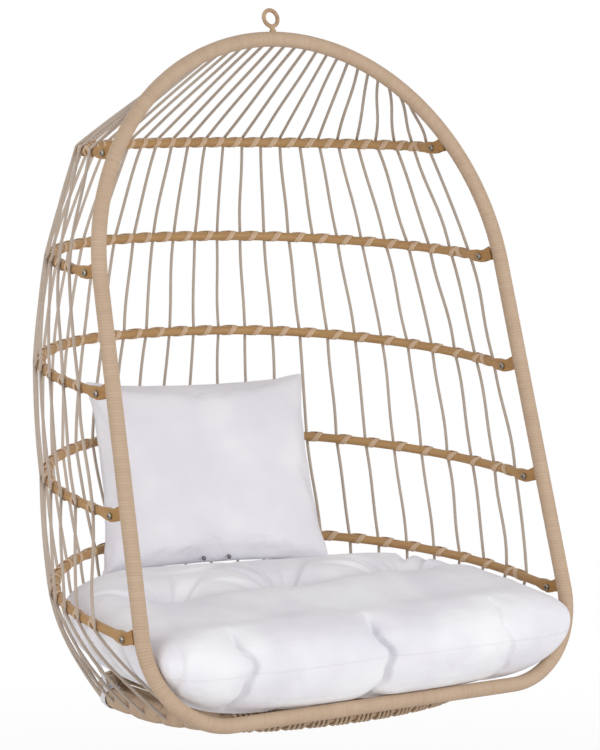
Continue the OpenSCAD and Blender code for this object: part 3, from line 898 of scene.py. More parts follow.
@dataclass
class Skin:
    """Points, faces and face-corner map of one or more swept tubes."""

    points: List[Point] = field(default_factory=list)
    faces: List[Tuple[int, ...]] = field(default_factory=list)
    corners: List[np.ndarray] = field(default_factory=list)
    count: int = 0

    def sweep(
        self,
        path: np.ndarray,
        hint: np.ndarray,
        radius: Union[float, np.ndarray],
        sides: int,
        closed: bool = False,
        flat: float = 1.0,
    ) -> "Skin":
        """Adds a tube along a path.

        Args:
            path: Centre points, one row each.
            hint: Direction, or one a point, that the section's first axis leans to.
            radius: Half width, one number, one a ring, or one a ring and side.
            sides: Points of the section.
            closed: True if the end joins the start.
            flat: Thickness of the section over its width.

        Returns:
            This skin, so that calls can be chained.
        """
        n = len(path)
        if closed:
            along = np.roll(path, -1, 0) - np.roll(path, 1, 0)
        else:
            along = np.gradient(path, axis=0)
        along /= np.linalg.norm(along, axis=1, keepdims=True) + TINY
        hint = np.broadcast_to(hint, (n, 3))
        e = hint - along * np.sum(hint * along, axis=1, keepdims=True)
        e /= np.linalg.norm(e, axis=1, keepdims=True) + TINY
        f = np.cross(along, e)
        a = np.arange(sides) * 2 * math.pi / sides
        r = np.asarray(radius, dtype=float)
        r = np.broadcast_to(r.reshape(-1, 1) if r.ndim < 2 else r, (n, sides))
        ring = (
            path[:, None, :]
            + (r * np.cos(a))[:, :, None] * e[:, None, :]
            + (r * flat * np.sin(a))[:, :, None] * f[:, None, :]
        )
        self.points.append(ring.reshape(-1, 3))
        length = self.walls(path, sides, n if closed else n - 1)
        if not closed:
            self.caps(n, sides, length)
        self.count += n * sides
        return self

    def walls(self, path: np.ndarray, sides: int, rows: int) -> float:
        """Adds the newest tube's faces between its rings.

        Args:
            path: The tube's centre points.
            sides: Points of its section.
            rows: Rows of faces, one fewer than the rings for an open tube.

        Returns:
            Length of the path.
        """
        n = len(path)
        i = np.repeat(np.arange(rows), sides)
        k = np.tile(np.arange(sides), rows)
        j = (i + 1) % n
        m = (k + 1) % sides
        quads = np.stack([i * sides + k, i * sides + m, j * sides + m, j * sides + k], 1)
        self.faces.extend(map(tuple, (quads + self.count).tolist()))
        v = np.concatenate([[0.0], np.cumsum(np.linalg.norm(np.diff(path, axis=0), axis=1))])
        last = v[-1] + np.linalg.norm(path[0] - path[-1])
        v_end = np.where(i + 1 < n, v[np.minimum(i + 1, n - 1)], last)
        spots = ((k, v[i]), (k + 1, v[i]), (k + 1, v_end), (k, v_end))
        uv = np.stack([np.stack([side / sides, length], 1) for side, length in spots], 1)
        self.corners.append(uv.reshape(-1, 2))
        return float(v[-1])

    def caps(self, n: int, sides: int, length: float) -> None:
        """Adds the two end faces of the newest tube, of n rings and that length.

        Args:
            n: How many rings it has.
            sides: Points of its section.
            length: Its length.
        """
        base = self.count
        self.faces.append(tuple(range(base + sides - 1, base - 1, -1)))
        self.faces.append(tuple(range(base + (n - 1) * sides, base + n * sides)))
        for v in (0.0, length):
            self.corners.append(np.tile([[0.5, v]], (sides, 1)))

    def piece(self, name: str, finish: bpy.types.Material) -> bpy.types.Object:
        """Makes the object, smooth and dressed.

        Args:
            name: The object's name.
            finish: Its material.

        Returns:
            The object, in the scene.
        """
        mesh = bpy.data.meshes.new(name)
        mesh.from_pydata(np.concatenate(self.points).tolist(), [], self.faces)
        layer = mesh.uv_layers.new(name="skin")
        layer.data.foreach_set("uv", np.concatenate(self.corners).ravel())
        mesh.materials.append(finish)
        return placed(mesh)


def even(points: np.ndarray, step: float) -> np.ndarray:
    """Points of a closed line respaced evenly, about one a step.

    Args:
        points: The line, its first point given once.
        step: The spacing asked for.

    Returns:
        The new points, the first given once.
    """
    line = np.vstack([points, points[:1]])
    run = np.concatenate([[0.0], np.cumsum(np.linalg.norm(np.diff(line, axis=0), axis=1))])
    count = max(2, int(round(run[-1] / step)))
    at = np.linspace(0.0, run[-1], count + 1)
    return np.stack([np.interp(at, run, line[:, i]) for i in range(3)], 1)[:-1]


def lapped(turns: np.ndarray, sides: int) -> np.ndarray:
    """Turns of a wound strip passed at each ring and side.

    Args:
        turns: Turns passed at each ring's first side.
        sides: Points of the section.

    Returns:
        One row a ring and one column a side.
    """
    return turns[:, None] + (np.arange(sides) / sides)[None, :]


def settle(obj: bpy.types.Object, body: str) -> None:
    """Rides a finished piece on a body and reports it.

    Args:
        obj: The piece.
        body: The body that it rides on.
    """
    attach(obj, body)
    LOG.info("%s: %d faces", obj.name, len(obj.data.polygons))


def dress(node: bpy.types.Object, finish: bpy.types.Material) -> None:
    """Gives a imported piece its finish.

    Args:
        node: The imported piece.
        finish: Its material.
    """
    if not node.material_slots:
        node.data.materials.append(finish)
    for place in node.material_slots:
        place.material = finish


# ------------------------------------------------------------------ hoop and ribs


@dataclass
class Frame:
    """Hoop with its wound strip, hanging eye, lugs, ribs, screws and nuts.

    Attributes:
        layout: Where the pieces lie.
        nodes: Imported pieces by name.
        strip_pitch: Advance of the strip a turn.
        rings_a_turn: Rings of the skin in one turn of the strip.
        sides: Points of the skin's section.
        inset: How far the strip's low edge lies inside the hoop's outline.
        lap: Rise of each turn over the one before.
        uneven: Difference between the tightest turn and the loosest.
    """

    layout: Layout
    nodes: Dict[str, bpy.types.Object]
    strip_pitch: float = 0.0052
    rings_a_turn: int = 4
    sides: int = 14
    inset: float = 0.0003
    lap: float = 0.00022
    uneven: float = 0.00018

    def hoop_line(self) -> np.ndarray:
        """Centreline of the closed hoop, once round.

        Returns:
            Its points, a set share of a turn of strip apart.
        """
        lay = self.layout
        splay = math.radians(lay.splay)
        cx, cs = lay.corner
        flat = [(lay.arch_r * math.cos(a), lay.arch_drop - lay.arch_r * math.sin(a))
                for a in np.linspace(splay, math.pi - splay, 400)]
        left = [(-(cx + lay.corner_r * math.cos(a)), cs - lay.corner_r * math.sin(a))
                for a in np.linspace(splay, -math.pi / 2, 120)]
        flat += left + [(-x, s) for x, s in reversed(left)]
        line = np.array([lay.hoop(x, s) for x, s in flat])
        return even(line, self.strip_pitch / self.rings_a_turn)

    def wound_hoop(self, finish: bpy.types.Material) -> None:
        """Strip wound round the whole hoop, each turn lapping the one before.

        Args:
            finish: The strip's finish.
        """
        line = self.hoop_line()
        phase = lapped(np.arange(len(line)) / self.rings_a_turn, self.sides)
        number = np.mod(np.floor(phase), len(line) / self.rings_a_turn)
        radius = self.layout.hoop_r - self.inset + self.lap * np.mod(phase, 1.0)
        radius = radius + self.uneven * hashed(number)
        behind = self.layout.hoop(0.0, 0.0, 1.0)
        skin = Skin().sweep(line, behind, radius, self.sides, closed=True)
        obj = skin.piece("hoop_winding", finish)
        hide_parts("hoop_wrap")
        settle(obj, "chair")

    def build(self) -> None:
        """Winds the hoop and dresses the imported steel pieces."""
        self.wound_hoop(WoundStrip(pitch=self.strip_pitch).make())
        finishes = {
            "hoop_tube": PaintedSteel("tube_paint", (200, 200, 202), (180, 180, 182)).make(),
            "hanging_eye": PaintedSteel("eye_paint", (190, 160, 128), (150, 118, 86)).make(),
            "rib_lugs": RibPaint("lug_paint", 0.0, (190, 146, 88), (140, 98, 52)).make(),
        }
        bolts = ("rib_screws", "rib_nuts", "ring_screws")
        finishes.update(dict.fromkeys(bolts, BrightSteel().make()))
        for k, tilt in enumerate(self.layout.tilts):
            finishes[f"rib_{k + 1}"] = RibPaint(f"rib_{k + 1}_paint", tilt).make()
        for name, finish in finishes.items():
            dress(self.nodes[name], finish)


# ------------------------------------------------------------------ cords


@dataclass
class CordWall:
    """Cords from the arch over the ribs to the ring, and the turns that lash them.

    Attributes:
        layout: Where the pieces lie.
        sides: Points of a cord's section.
        beside: From a cord to the middle of its lashing, along the rib.
        last_beside: The same for the last cord, whose lashing lies on its other side.
        tight: What the last cord but one keeps free of the space to its neighbour.
        strip_half: Half width of the lashings' strip.
        strip_thick: Thickness of the strip.
        slant: How far a turn of strip runs along the rib on its hidden side.
        end_in: How far a cord's upper end is let into the hoop's strip.
        air: Gap between a cord and a rib.
        under_wrap: Cords beyond this number end under the ring's wraps.
        wrapped_air: Radius over the ring's, at which those cords lie on it.
        turned: Cords inside this number make a turn of their own round the ring.
        wave: Sideways wave of a span in the middle, and what the outermost has more.
    """

    layout: Layout
    sides: int = 8
    beside: float = 0.020
    last_beside: float = -0.0095
    tight: float = 0.0224
    strip_half: float = 0.0027
    strip_thick: float = 0.00075
    slant: float = 0.0080
    end_in: float = 0.001
    air: float = 0.0002
    under_wrap: float = 8.0
    wrapped_air: float = 0.0006
    turned: float = 9.0
    wave: Tuple[float, float] = (0.0012, 0.0028)

    def sway(self, u: float, j: int) -> float:
        """Slight sideways wave of one span, more in the outer cords, in metres."""
        side = max(0.0, abs(u) - 8.0) / 5.5
        return (self.wave[0] + self.wave[1] * side) * math.sin(j * 2.1 + u * 1.7)

    def lies_at(self, j: int, u: float) -> float:
        """Radius from line j's centre at which cord u lies on it.

        Args:
            j: Number of the rib, or RING.
            u: The cord's signed number from the middle.

        Returns:
            The radius.
        """
        lay = self.layout
        if j < RING:
            return lay.rib_r + lay.cord_r + self.air
        return lay.ring_r + (self.wrapped_air if abs(u) > self.under_wrap else lay.cord_r)

    def main_line(self, u: float) -> np.ndarray:
        """Centreline of cord u from the hoop to the ring.

        Args:
            u: The cord's signed number from the middle.

        Returns:
            Its points, from the top down.
        """
        lay = self.layout
        points: List[Point] = []
        way = unit(lay.knot(1, u) - lay.knot(0, u))
        start = lay.knot(0, u) + way * (lay.hoop_r - self.end_in)
        for j in range(RING + 1):
            span_steps, arc_points = (14, 8) if j == RING else (10, 5)
            a_in, a_out = lay.angle_in(j, u), lay.angle_out(j, u)
            r = self.lies_at(j, u)
            end = lay.touch(j, u, a_in, r)
            out = lay.span_out(j, u)
            level = np.array([out[1], -out[0], 0.0])
            for f in np.linspace(0.0, 1.0, span_steps, endpoint=False):
                bulge = out * lay.belly(j) * 4 * f * (1 - f)
                wave = level * self.sway(u, j) * math.sin(2 * math.pi * f)
                points.append(start * (1 - f) + end * f + bulge + wave)
            last = a_out if a_out < a_in else a_in - 0.05
            points += [lay.touch(j, u, a, r) for a in np.linspace(a_in, last, arc_points)]
            if j < RING:
                start = points.pop()
        return np.array(points)

    def lash_bends(self, reach: float) -> np.ndarray:
        """Angle in degrees, place along the rib and lift of a lashing, bend by bend.

        Args:
            reach: How far the strip's ends run back towards the cord.

        Returns:
            One row a bend, in order of angle.
        """
        w, s = self.strip_half, self.slant
        return np.array([
            (-712.0, -reach, 0.0012), (-685.0, -reach * 0.5, 0.0016), (-660.0, w * 0.5, 0.0012),
            (-625.0, w + s, 0.0), (-540.0, w, 0.0), (-455.0, w - s, 0.0), (-360.0, 0.0, 0.0006),
            (-265.0, s - w, 0.0), (-180.0, -w, 0.0), (-95.0, -w - s, 0.0), (-38.0, -reach, 0.0012),
        ])

    def lashing(self, skin: Skin, k: int, u: float) -> None:
        """Adds the wrapped turns that hold cord u to rib k.

        Args:
            skin: Where they go.
            k: Number of the rib.
            u: The cord's signed number from the middle.
        """
        lay = self.layout
        last = u > lay.cords / 2 - 1
        beside = self.beside
        if last:
            beside = self.last_beside
        elif u > lay.cords / 2 - 2:
            beside = min(beside, lay.rib_pitch(k) - self.tight)
        flip, q = (-1.0 if last else 1.0), lay.line_q(k, u) + beside
        bends = self.lash_bends(abs(beside) - 0.001)
        at = np.arange(-712.0, -37.0, 13.5)[::-1]
        axial = np.interp(at, bends[:, 0], bends[:, 1])
        lift = np.interp(at, bends[:, 0], bends[:, 2])
        path, hint = [], []
        for angle, along, up in zip(np.radians(at), axial, lift):
            c, n, z = lay.line_at(k, q + flip * along)
            path.append(c + (lay.rib_r + self.strip_thick * 0.9 + up) * spoke(n, z, angle))
            hint.append(np.cross(n, z))
        wide = self.strip_half * (1 + 0.5 * np.clip(np.cos(np.radians(at)), 0, 1))
        flat = self.strip_thick / self.strip_half
        skin.sweep(np.array(path), np.array(hint), wide, 8, flat=flat)

    def ring_turn(self, skin: Skin, u: float) -> None:
        """Adds the turn of cord u round the ring.

        Args:
            skin: Where it goes.
            u: The cord's signed number from the middle.
        """
        lay = self.layout
        c, n, z = lay.cross(RING, u)
        angles = np.radians(np.linspace(70.0, -290.0, 19))
        path = [c + (lay.ring_r + lay.cord_r) * spoke(n, z, a) for a in angles]
        skin.sweep(np.array(path), np.cross(n, z), lay.cord_r, 6)

    def cord(self, i: int, finish: bpy.types.Material) -> None:
        """Makes cord i with its turn round the ring.

        Args:
            i: Number of the cord, from 1.
            finish: Its finish.
        """
        lay = self.layout
        u = lay.from_middle(i)
        out = lay.cross(2, u)[1]
        side = unit(np.array([out[1], -out[0], 0.0]))
        skin = Skin().sweep(self.main_line(u), side, lay.cord_r, self.sides)
        if abs(u) < self.turned:
            self.ring_turn(skin, u)
        obj = skin.piece(f"cord_{i:02d}", finish)
        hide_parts(f"strand_{i:02d}")
        settle(obj, "chair")

    def build(self) -> None:
        """Makes every cord and every rib's lashings."""
        numbers = range(1, self.layout.cords + 1)
        finish = CordSkin().make()
        for i in numbers:
            self.cord(i, finish)
        pale = CordSkin("lashing_skin", (214, 186, 156), (190, 160, 128)).make()
        for k in range(RING):
            skin = Skin()
            for i in numbers:
                self.lashing(skin, k, self.layout.from_middle(i))
            obj = skin.piece(f"rib_{k + 1}_lashings", pale)
            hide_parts(f"rib_{k + 1}_turns")
            settle(obj, "chair")


@dataclass
class SeatWebbing:
    """Cord wound round the ring from front to back, and the ring's own wound strip.

    Attributes:
        layout: Where the pieces lie.
        nodes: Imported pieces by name.
        per_cord: Places for loops in the space of one cord.
        reach: Length along the ring, from the middle, that has loops.
        air: Gap between the loops and the ring.
        lean: Share of a loop's spacing that its lower run is set over.
        strip_pitch: Advance of the ring's strip a turn.
        wrap_pitch: Advance of the side wraps' strip a turn.
        ends: Lengths along the ring where the wraps' barrels meet, each with a collar.
        under: Radius of a barrel's ends over the ring's.
        barrel: What a barrel's middle has more.
        collar_over: Radius of a collar's centreline over the ring's.
        collar_half: Half width of a collar's cord.
    """

    layout: Layout
    nodes: Dict[str, bpy.types.Object]
    per_cord: int = 5
    reach: float = 0.258
    air: float = 0.0004
    lean: float = 0.06
    strip_pitch: float = 0.0042
    wrap_pitch: float = 0.0046
    ends: Tuple[float, ...] = (0.300, 0.378, 0.460, 0.538, 0.580, 0.640)
    under: float = 0.0016
    barrel: float = 0.0034
    collar_over: float = 0.0026
    collar_half: float = 0.0016

    def half_depth(self, x: float) -> float:
        """Half depth of the ring at x across.

        Args:
            x: Distance from the middle.

        Returns:
            The half depth.
        """
        ring, w = self.layout.ring, abs(x)
        if w < ring.crown * math.sin(ring.crown_half):
            return ring.depth - ring.crown + math.sqrt(ring.crown**2 - w * w)
        return ring.leg + math.sqrt(max(0.0, ring.side**2 - (w - ring.half + ring.side) ** 2))

    def slope(self, x: float) -> float:
        """Factor by which the ring's slant at x widens a loop.

        Args:
            x: Distance from the middle.

        Returns:
            The factor, 1 where the ring runs straight across.
        """
        step = 0.0005
        d = (self.half_depth(abs(x) + step) - self.half_depth(x)) / step
        return math.sqrt(1 + d * d)

    def places(self, r: float) -> List[float]:
        """Where the loops lie across the ring, leaving out the cords' own turns.

        Args:
            r: Radius of the loops' centreline.

        Returns:
            Distances from the middle, from -X to +X.
        """
        lay = self.layout
        step = lay.ring_pitch / self.per_cord
        out = []
        for i in range(int(self.reach / step) + 1):
            if (i - (self.per_cord - 1) // 2) % self.per_cord:
                q = (i + 0.5) * step
                out.append(lay.ring.point(q)[0] + r * math.sin(lay.ring.turn(q)))
        return [-x for x in reversed(out)] + out

    def end(self, x: float, back: float, degrees: float, r: float) -> Point:
        """Point of a loop's end, in the ring's own plane.

        Args:
            x: Distance across.
            back: 1 at the back, -1 at the front.
            degrees: Angle from outward towards up.
            r: Radius of the loop's centreline.

        Returns:
            The point.
        """
        a = math.radians(degrees)
        y = self.half_depth(x) + r * self.slope(x) * math.cos(a)
        return np.array([x, self.layout.ring.depth + back * y, r * math.sin(a)])

    def winding(self, finish: bpy.types.Material) -> None:
        """One unbroken cord over the ring's top, round the back, and back underneath.

        Args:
            finish: The cord's finish.
        """
        lay = self.layout
        r = lay.ring_r + lay.cord_r + self.air
        flat: List[Point] = []
        places = self.places(r)
        down = np.arange(90.0, -90.1, -18.0)
        for x, z in zip(places, places[1:]):
            lean = (z - x) * self.lean
            runs = (
                (1.0, x, down, self.end(z - lean, -1.0, -90.0, r)),
                (-1.0, z, down[::-1], self.end(z, 1.0, 90.0, r)),
            )
            for back, here, angles, goal in runs:
                for a in angles:
                    flat.append(self.end(here + (back * lean if a < 0 else 0.0), back, a, r))
                first = flat[-1]
                flat += [first * (1 - f) + goal * f for f in (0.2, 0.4, 0.6, 0.8)]
        base = np.array([0.0, *lay.ring_front])
        path = np.array([base + tilted(p, lay.ring_tilt) for p in flat])
        skin = Skin().sweep(path, np.array([1.0, 0.0, 0.0]), lay.cord_r, 7)
        obj = skin.piece("seat_winding", finish)
        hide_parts("seat_webbing")
        settle(obj, "chair")

    def ring_strip(self, finish: bpy.types.Material) -> None:
        """Strip wound round the ring tube.

        Args:
            finish: The strip's finish.
        """
        lay = self.layout
        whole = 4 * lay.ring.half_length
        count, half = int(whole / 0.0012), whole / 2
        at = np.linspace(-half, half, count, endpoint=False)
        line = np.array([lay.line_at(RING, q)[0] for q in at])
        phase = lapped(np.arange(count) * whole / count / self.strip_pitch, 12)
        radius = lay.ring_r + 0.00002 + 0.0002 * np.mod(phase, 1.0)
        skin = Skin().sweep(line, tilted(UP, lay.ring_tilt), radius, 12, closed=True)
        settle(skin.piece("ring_strip", finish), "chair")

    def side_winding(self, side: float, finish: bpy.types.Material) -> bpy.types.Object:
        """Strip wound thick round one side of the ring, over the cords' ends, with collars.

        Args:
            side: -1 towards -X, 1 towards +X.
            finish: The strip's finish.

        Returns:
            The piece.
        """
        lay = self.layout
        at = np.arange(self.ends[0], self.ends[-1], self.wrap_pitch / 4)
        line = np.array([lay.line_at(RING, side * q)[0] for q in at])
        phase = lapped(at / self.wrap_pitch, 16)
        part = np.interp(at, self.ends, np.arange(len(self.ends)))
        belly = 1 - np.abs(2 * np.mod(part, 1.0) - 1) ** 5
        radius = lay.ring_r + self.under + self.barrel * belly[:, None]
        radius = radius + 0.0003 * np.mod(phase, 1.0) + 0.0004 * hashed(np.floor(phase))
        skin = Skin().sweep(line, tilted(UP, lay.ring_tilt), radius, 16)
        for middle in self.ends:
            self.collar(skin, side, middle)
        obj = skin.piece("ring_winding_left" if side < 0 else "ring_winding_right", finish)
        settle(obj, "chair")
        return obj

    def collar(self, skin: Skin, side: float, middle: float) -> None:
        """Adds two turns of flat cord where two barrels of a wrap meet.

        Args:
            skin: Where they go.
            side: -1 towards -X, 1 towards +X.
            middle: Length along the ring.
        """
        lay = self.layout
        pitch = 0.0030
        path, hint = [], []
        for t in np.arange(0.0, 2.0, 1.0 / 16):
            c, out, z = lay.line_at(RING, side * (middle + pitch * (t - 1)))
            path.append(c + (lay.ring_r + self.collar_over) * spoke(out, z, 2 * math.pi * t))
            hint.append(np.cross(out, z))
        skin.sweep(np.array(path), np.array(hint), self.collar_half, 8, flat=0.7)

    def build(self) -> None:
        """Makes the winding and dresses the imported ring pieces."""
        self.winding(CordSkin("webbing_skin", (206, 181, 154), (172, 146, 118)).make())
        self.ring_strip(WoundStrip("ring_strip_skin").make())
        strip = WoundStrip("ring_wrap_skin", self.wrap_pitch).make()
        left = self.side_winding(-1.0, strip)
        self.side_winding(1.0, strip)
        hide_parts("ring_wraps")
        dress(self.nodes["seat_ring"], PaintedSteel("ring_paint").make())
        dress(self.nodes["ring_lugs"], PaintedSteel("ring_lug_paint").make())


# ------------------------------------------------------------------ cushions


def bell(distance: np.ndarray, width: float) -> np.ndarray:
    """Smooth bump, 1 in the middle and about a third at that width from it."""
    return np.exp(-((distance / width) ** 2))


def fold(distance: np.ndarray, before: float, after: float) -> np.ndarray:
    """Bump across a fold, of one width before its line and another after it."""
    return bell(distance, before) * (distance < 0) + bell(distance, after) * (distance >= 0)


@dataclass(frozen=True)
class Swell:
    """Air pressure that rounds a stuffed cover, done with cloth and then made fixed.

    Attributes:
        cap: The most that a point may move.
        pressure: Air pressure inside the cover.
        frames: Length of the cloth run.
    """

    cap: float
    pressure: float = 4.0
    frames: int = 20

    def cloth(self, obj: bpy.types.Object) -> bpy.types.Modifier:
        """Adds the cloth to the cover.

        Args:
            obj: The cover.

        Returns:
            The cloth.
        """
        mod = obj.modifiers.new("swell", "CLOTH")
        cloth = mod.settings
        cloth.quality = 5
        cloth.mass = 0.35
        cloth.tension_stiffness = cloth.compression_stiffness = 12.0
        cloth.shear_stiffness = 4.0
        cloth.bending_stiffness = 0.6
        cloth.use_pressure = True
        cloth.uniform_pressure_force = self.pressure
        cloth.effector_weights.gravity = 0.0
        mod.collision_settings.use_collision = False
        mod.point_cache.frame_start, mod.point_cache.frame_end = 1, self.frames
        return mod

    def run(self, obj: bpy.types.Object) -> None:
        """Swells the cover and writes its new shape, kept to the cover's own overall size.

        Args:
            obj: The cover.
        """
        scene = bpy.context.scene
        for other in bpy.context.selected_objects:
            other.select_set(False)
        mod = self.cloth(obj)
        rest = self.points(obj.data)
        for frame in range(1, self.frames + 1):
            scene.frame_set(frame)
        moved = self.points(obj.evaluated_get(bpy.context.evaluated_depsgraph_get()).data)
        obj.modifiers.remove(mod)
        scene.frame_set(1)
        step = moved - rest
        size = np.linalg.norm(step, axis=1, keepdims=True) + 1e-9
        moved = rest + step / size * self.cap * np.tanh(size / self.cap)
        grown = (rest.max(0) - rest.min(0)) / (moved.max(0) - moved.min(0))
        self.write(obj, rest.min(0) + (moved - moved.min(0)) * grown)

    @staticmethod
    def points(mesh: bpy.types.Mesh) -> np.ndarray:
        """Vertex places of a mesh.

        Args:
            mesh: The mesh.

        Returns:
            One row a vertex.
        """
        out = np.empty(len(mesh.vertices) * 3)
        mesh.vertices.foreach_get("co", out)
        return out.reshape(-1, 3)

    @staticmethod
    def write(obj: bpy.types.Object, points: np.ndarray) -> None:
        """Puts new vertex places into a mesh."""
        obj.data.vertices.foreach_set("co", points.ravel())
        obj.data.update()


def applied(obj: bpy.types.Object, kind: str, settings: Dict[str, Any]) -> None:
    """Adds a modifier with its settings and makes it fixed.

    Args:
        obj: What it acts on.
        kind: The modifier's type.
        settings: Its settings by name.
    """
    bpy.ops.object.select_all(action="DESELECT")
    obj.select_set(True)
    bpy.context.view_layer.objects.active = obj
    mod = obj.modifiers.new(kind.lower(), kind)
    for key, value in settings.items():
        setattr(mod, key, value)
    bpy.ops.object.modifier_apply(modifier=mod.name)


def stuffed(rows: np.ndarray, name: str, voxel: float, cap: float) -> bpy.types.Object:
    """Closed cover of rings between two poles, swelled and made fine.

    Args:
        rows: Rings of points, lowest first, the first and last all at a pole.
        name: The object's name.
        voxel: Size of the cover's faces before it is swelled.
        cap: The most that the swelling may move a point.

    Returns:
        The object, in the scene.
    """
    m, n, _ = rows.shape
    points = [rows[0, 0], *rows[1:-1].reshape(-1, 3), rows[-1, 0]]
    top, base = len(points) - 1, 1 + (m - 3) * n
    faces: List[Tuple[int, ...]] = []
    for i in range(n):
        faces.append((0, 1 + (i + 1) % n, 1 + i))
        faces.append((base + i, base + (i + 1) % n, top))
    for j in range(m - 3):
        for i in range(n):
            p, k = 1 + j * n, (i + 1) % n
            faces.append((p + i, p + k, p + n + k, p + n + i))
    mesh = bpy.data.meshes.new(name)
    mesh.from_pydata([tuple(p) for p in points], [], faces)
    obj = placed(mesh)
    applied(obj, "REMESH", {"mode": "VOXEL", "voxel_size": voxel, "use_smooth_shade": True})
    Swell(cap).run(obj)
    applied(obj, "SUBSURF", {"levels": 1, "render_levels": 1})
    return obj


def clothed(obj: bpy.types.Object, finish: bpy.types.Material) -> None:
    """Gives a cover its cloth and no other finish."""
    obj.data.materials.clear()
    obj.data.materials.append(finish)


@dataclass
class SeatCushion:
    """Stuffed seat cushion with three tufts and creases down its front.

    Attributes:
        layout: Where the pieces lie.
        half: Half width.
        front: Foremost place.
        mid: Where the front's outline meets the back's.
        back: Rearmost place.
        seam_z: Height of the front seam.
        top: Rise of the upper side over the seam.
        bottom: Drop of the lower side under the seam.
        tilt: Slope towards the back, in degrees.
        curl: Rise of the sides and back over the seam.
        pinch: Depth of the dents in the sides.
        press: Depth of the hollow under the back cushion.
        pressed: Middle of that hollow.
        tufts: Middle of each tuft.
        creases: Place across and depth of each crease in the front.
        wrinkles: Place, length and direction of each stray wrinkle.
        pit: Depth and width of a tuft's pit.
        hollow: Depth and width of the hollow round it.
        folds: How many folds run out from a tuft.
        fold_deep: Depth of a fold.
        fold_wide: Width of a fold's steep side and of its other side.
        valley: Depth and width of the valley from tuft to tuft.
        brow: Depth, place from front to back and width of the drop towards the front.
        wrinkle: Depth and width of a stray wrinkle.
    """

    layout: Layout
    half: float = 0.440
    front: float = -0.345
    mid: float = -0.200
    back: float = 0.258
    seam_z: float = -1.085
    top: float = 0.088
    bottom: float = 0.090
    tilt: float = 3.5
    curl: float = 0.034
    pinch: float = 0.014
    press: float = 0.024
    pressed: Tuple[float, float] = (0.011, 0.192)
    tufts: Tuple[Tuple[float, float], ...] = ((-0.264, -0.060), (0.0, -0.040), (0.264, -0.030))
    creases: Tuple[Tuple[float, float], ...] = ((-0.291, 0.013), (0.0, 0.016), (0.262, 0.005))
    wrinkles: Tuple[Tuple[float, float, float, float], ...] = (
        (0.345, 0.055, 0.120, 0.9), (0.330, -0.02, 0.10, -0.5), (-0.10, 0.06, 0.12, 0.35)
    )
    pit: Tuple[float, float] = (0.016, 0.015)
    hollow: Tuple[float, float] = (0.020, 0.070)
    folds: int = 5
    fold_deep: float = 0.0135
    fold_wide: Tuple[float, float] = (0.0045, 0.017)
    valley: Tuple[float, float] = (0.017, 0.032)
    brow: Tuple[float, float, float] = (0.0225, -0.235, 0.090)
    wrinkle: Tuple[float, float] = (0.011, 0.010)

    def edge(self, a: float, low: float) -> float:
        """Outline radius at angle a; low goes to 1 below, where the left corner is rounder.

        Args:
            a: Angle round the outline, in radians.
            low: 0 at the seam and above, up to 1 below.

        Returns:
            The radius.
        """
        c, s = abs(math.cos(a)), abs(math.sin(a))
        behind = math.sin(a) > 0
        t = min(1.0, max(0.0, math.cos(a) * 1.6 + 0.5))
        t = t * t * (3 - 2 * t)
        d = self.back - self.mid if behind else self.mid - self.front + 0.005 * t
        e = 2.6 if behind else 7.0 - (3.4 - 2.4 * t) * low
        h = (self.half + 0.002 * t) * (1 - 0.06 * (1 - t) * low)
        return 1.0 / ((c / h) ** e + (s / d) ** e) ** (1.0 / e)

    def local(self, a: float, q: float) -> Point:
        """Point of the plain cover at outline angle a and section angle q, in its own frame.

        Args:
            a: Angle round the outline, in radians.
            q: Section angle, from straight down to straight up.

        Returns:
            The point.
        """
        s = math.cos(q)
        r = self.edge(a, 0.0 if q > 0 else 1 - s**6) * s
        w, y = r * math.cos(a), self.mid + r * math.sin(a)
        nip = self.pinch * float(bell(y + 0.150, 0.080)) * min(1.0, abs(w) / self.half) ** 4
        lift = self.curl * min(1.0, max(0.0, (math.sin(a) + 0.6) / 0.6))
        if q > 0:
            z = self.top * math.sqrt(max(0.0, 1 - s**4)) + lift * s**3
        else:
            full = 5.0 + 4.0 * min(1.0, max(0.0, -1.4 * math.sin(a)))
            z = -self.bottom * math.sqrt(max(0.0, 1 - s**full)) + lift * s**8
        return np.array([w - math.copysign(nip, w), y, z])

    def out(self, points: np.ndarray) -> np.ndarray:
        """From the cushion's own frame to the chair's.

        Args:
            points: Points in the cushion's own frame, one row each.

        Returns:
            The same points in the chair's frame.
        """
        c, s = math.cos(math.radians(self.tilt)), math.sin(math.radians(self.tilt))
        y = points[:, 1] - self.front
        return np.stack([points[:, 0], self.front + y * c - points[:, 2] * s,
                         self.seam_z + y * s + points[:, 2] * c], 1)

    def tufted(self, x: np.ndarray, y: np.ndarray, n: int) -> np.ndarray:
        """Pull of tuft n: its pit, the hollow round it and five curved folds.

        Args:
            x: Places across.
            y: Places from front to back.
            n: Number of the tuft.

        Returns:
            The pull at each place.
        """
        cx, cy = self.tufts[n]
        r = np.hypot(x - cx, y - cy)
        angle = np.arctan2(y - cy, x - cx)
        drop = sum(deep * bell(r, wide) for deep, wide in (self.pit, self.hollow))
        for k in range(self.folds):
            way = 0.45 + 0.62 * k + 0.16 * math.sin(5.0 * k + 2.0 * n)
            turn = angle - way - 0.9 * (r - 0.05)
            off = np.arctan2(np.sin(turn), np.cos(turn))
            reach = 0.112 + 0.03 * math.sin(3.0 * k + n)
            fade = np.clip(r / 0.018, 0, 1) * np.clip(1.25 - r / reach, 0, 1)
            drop += self.fold_deep * fold(off * r, *self.fold_wide) * fade
        return drop

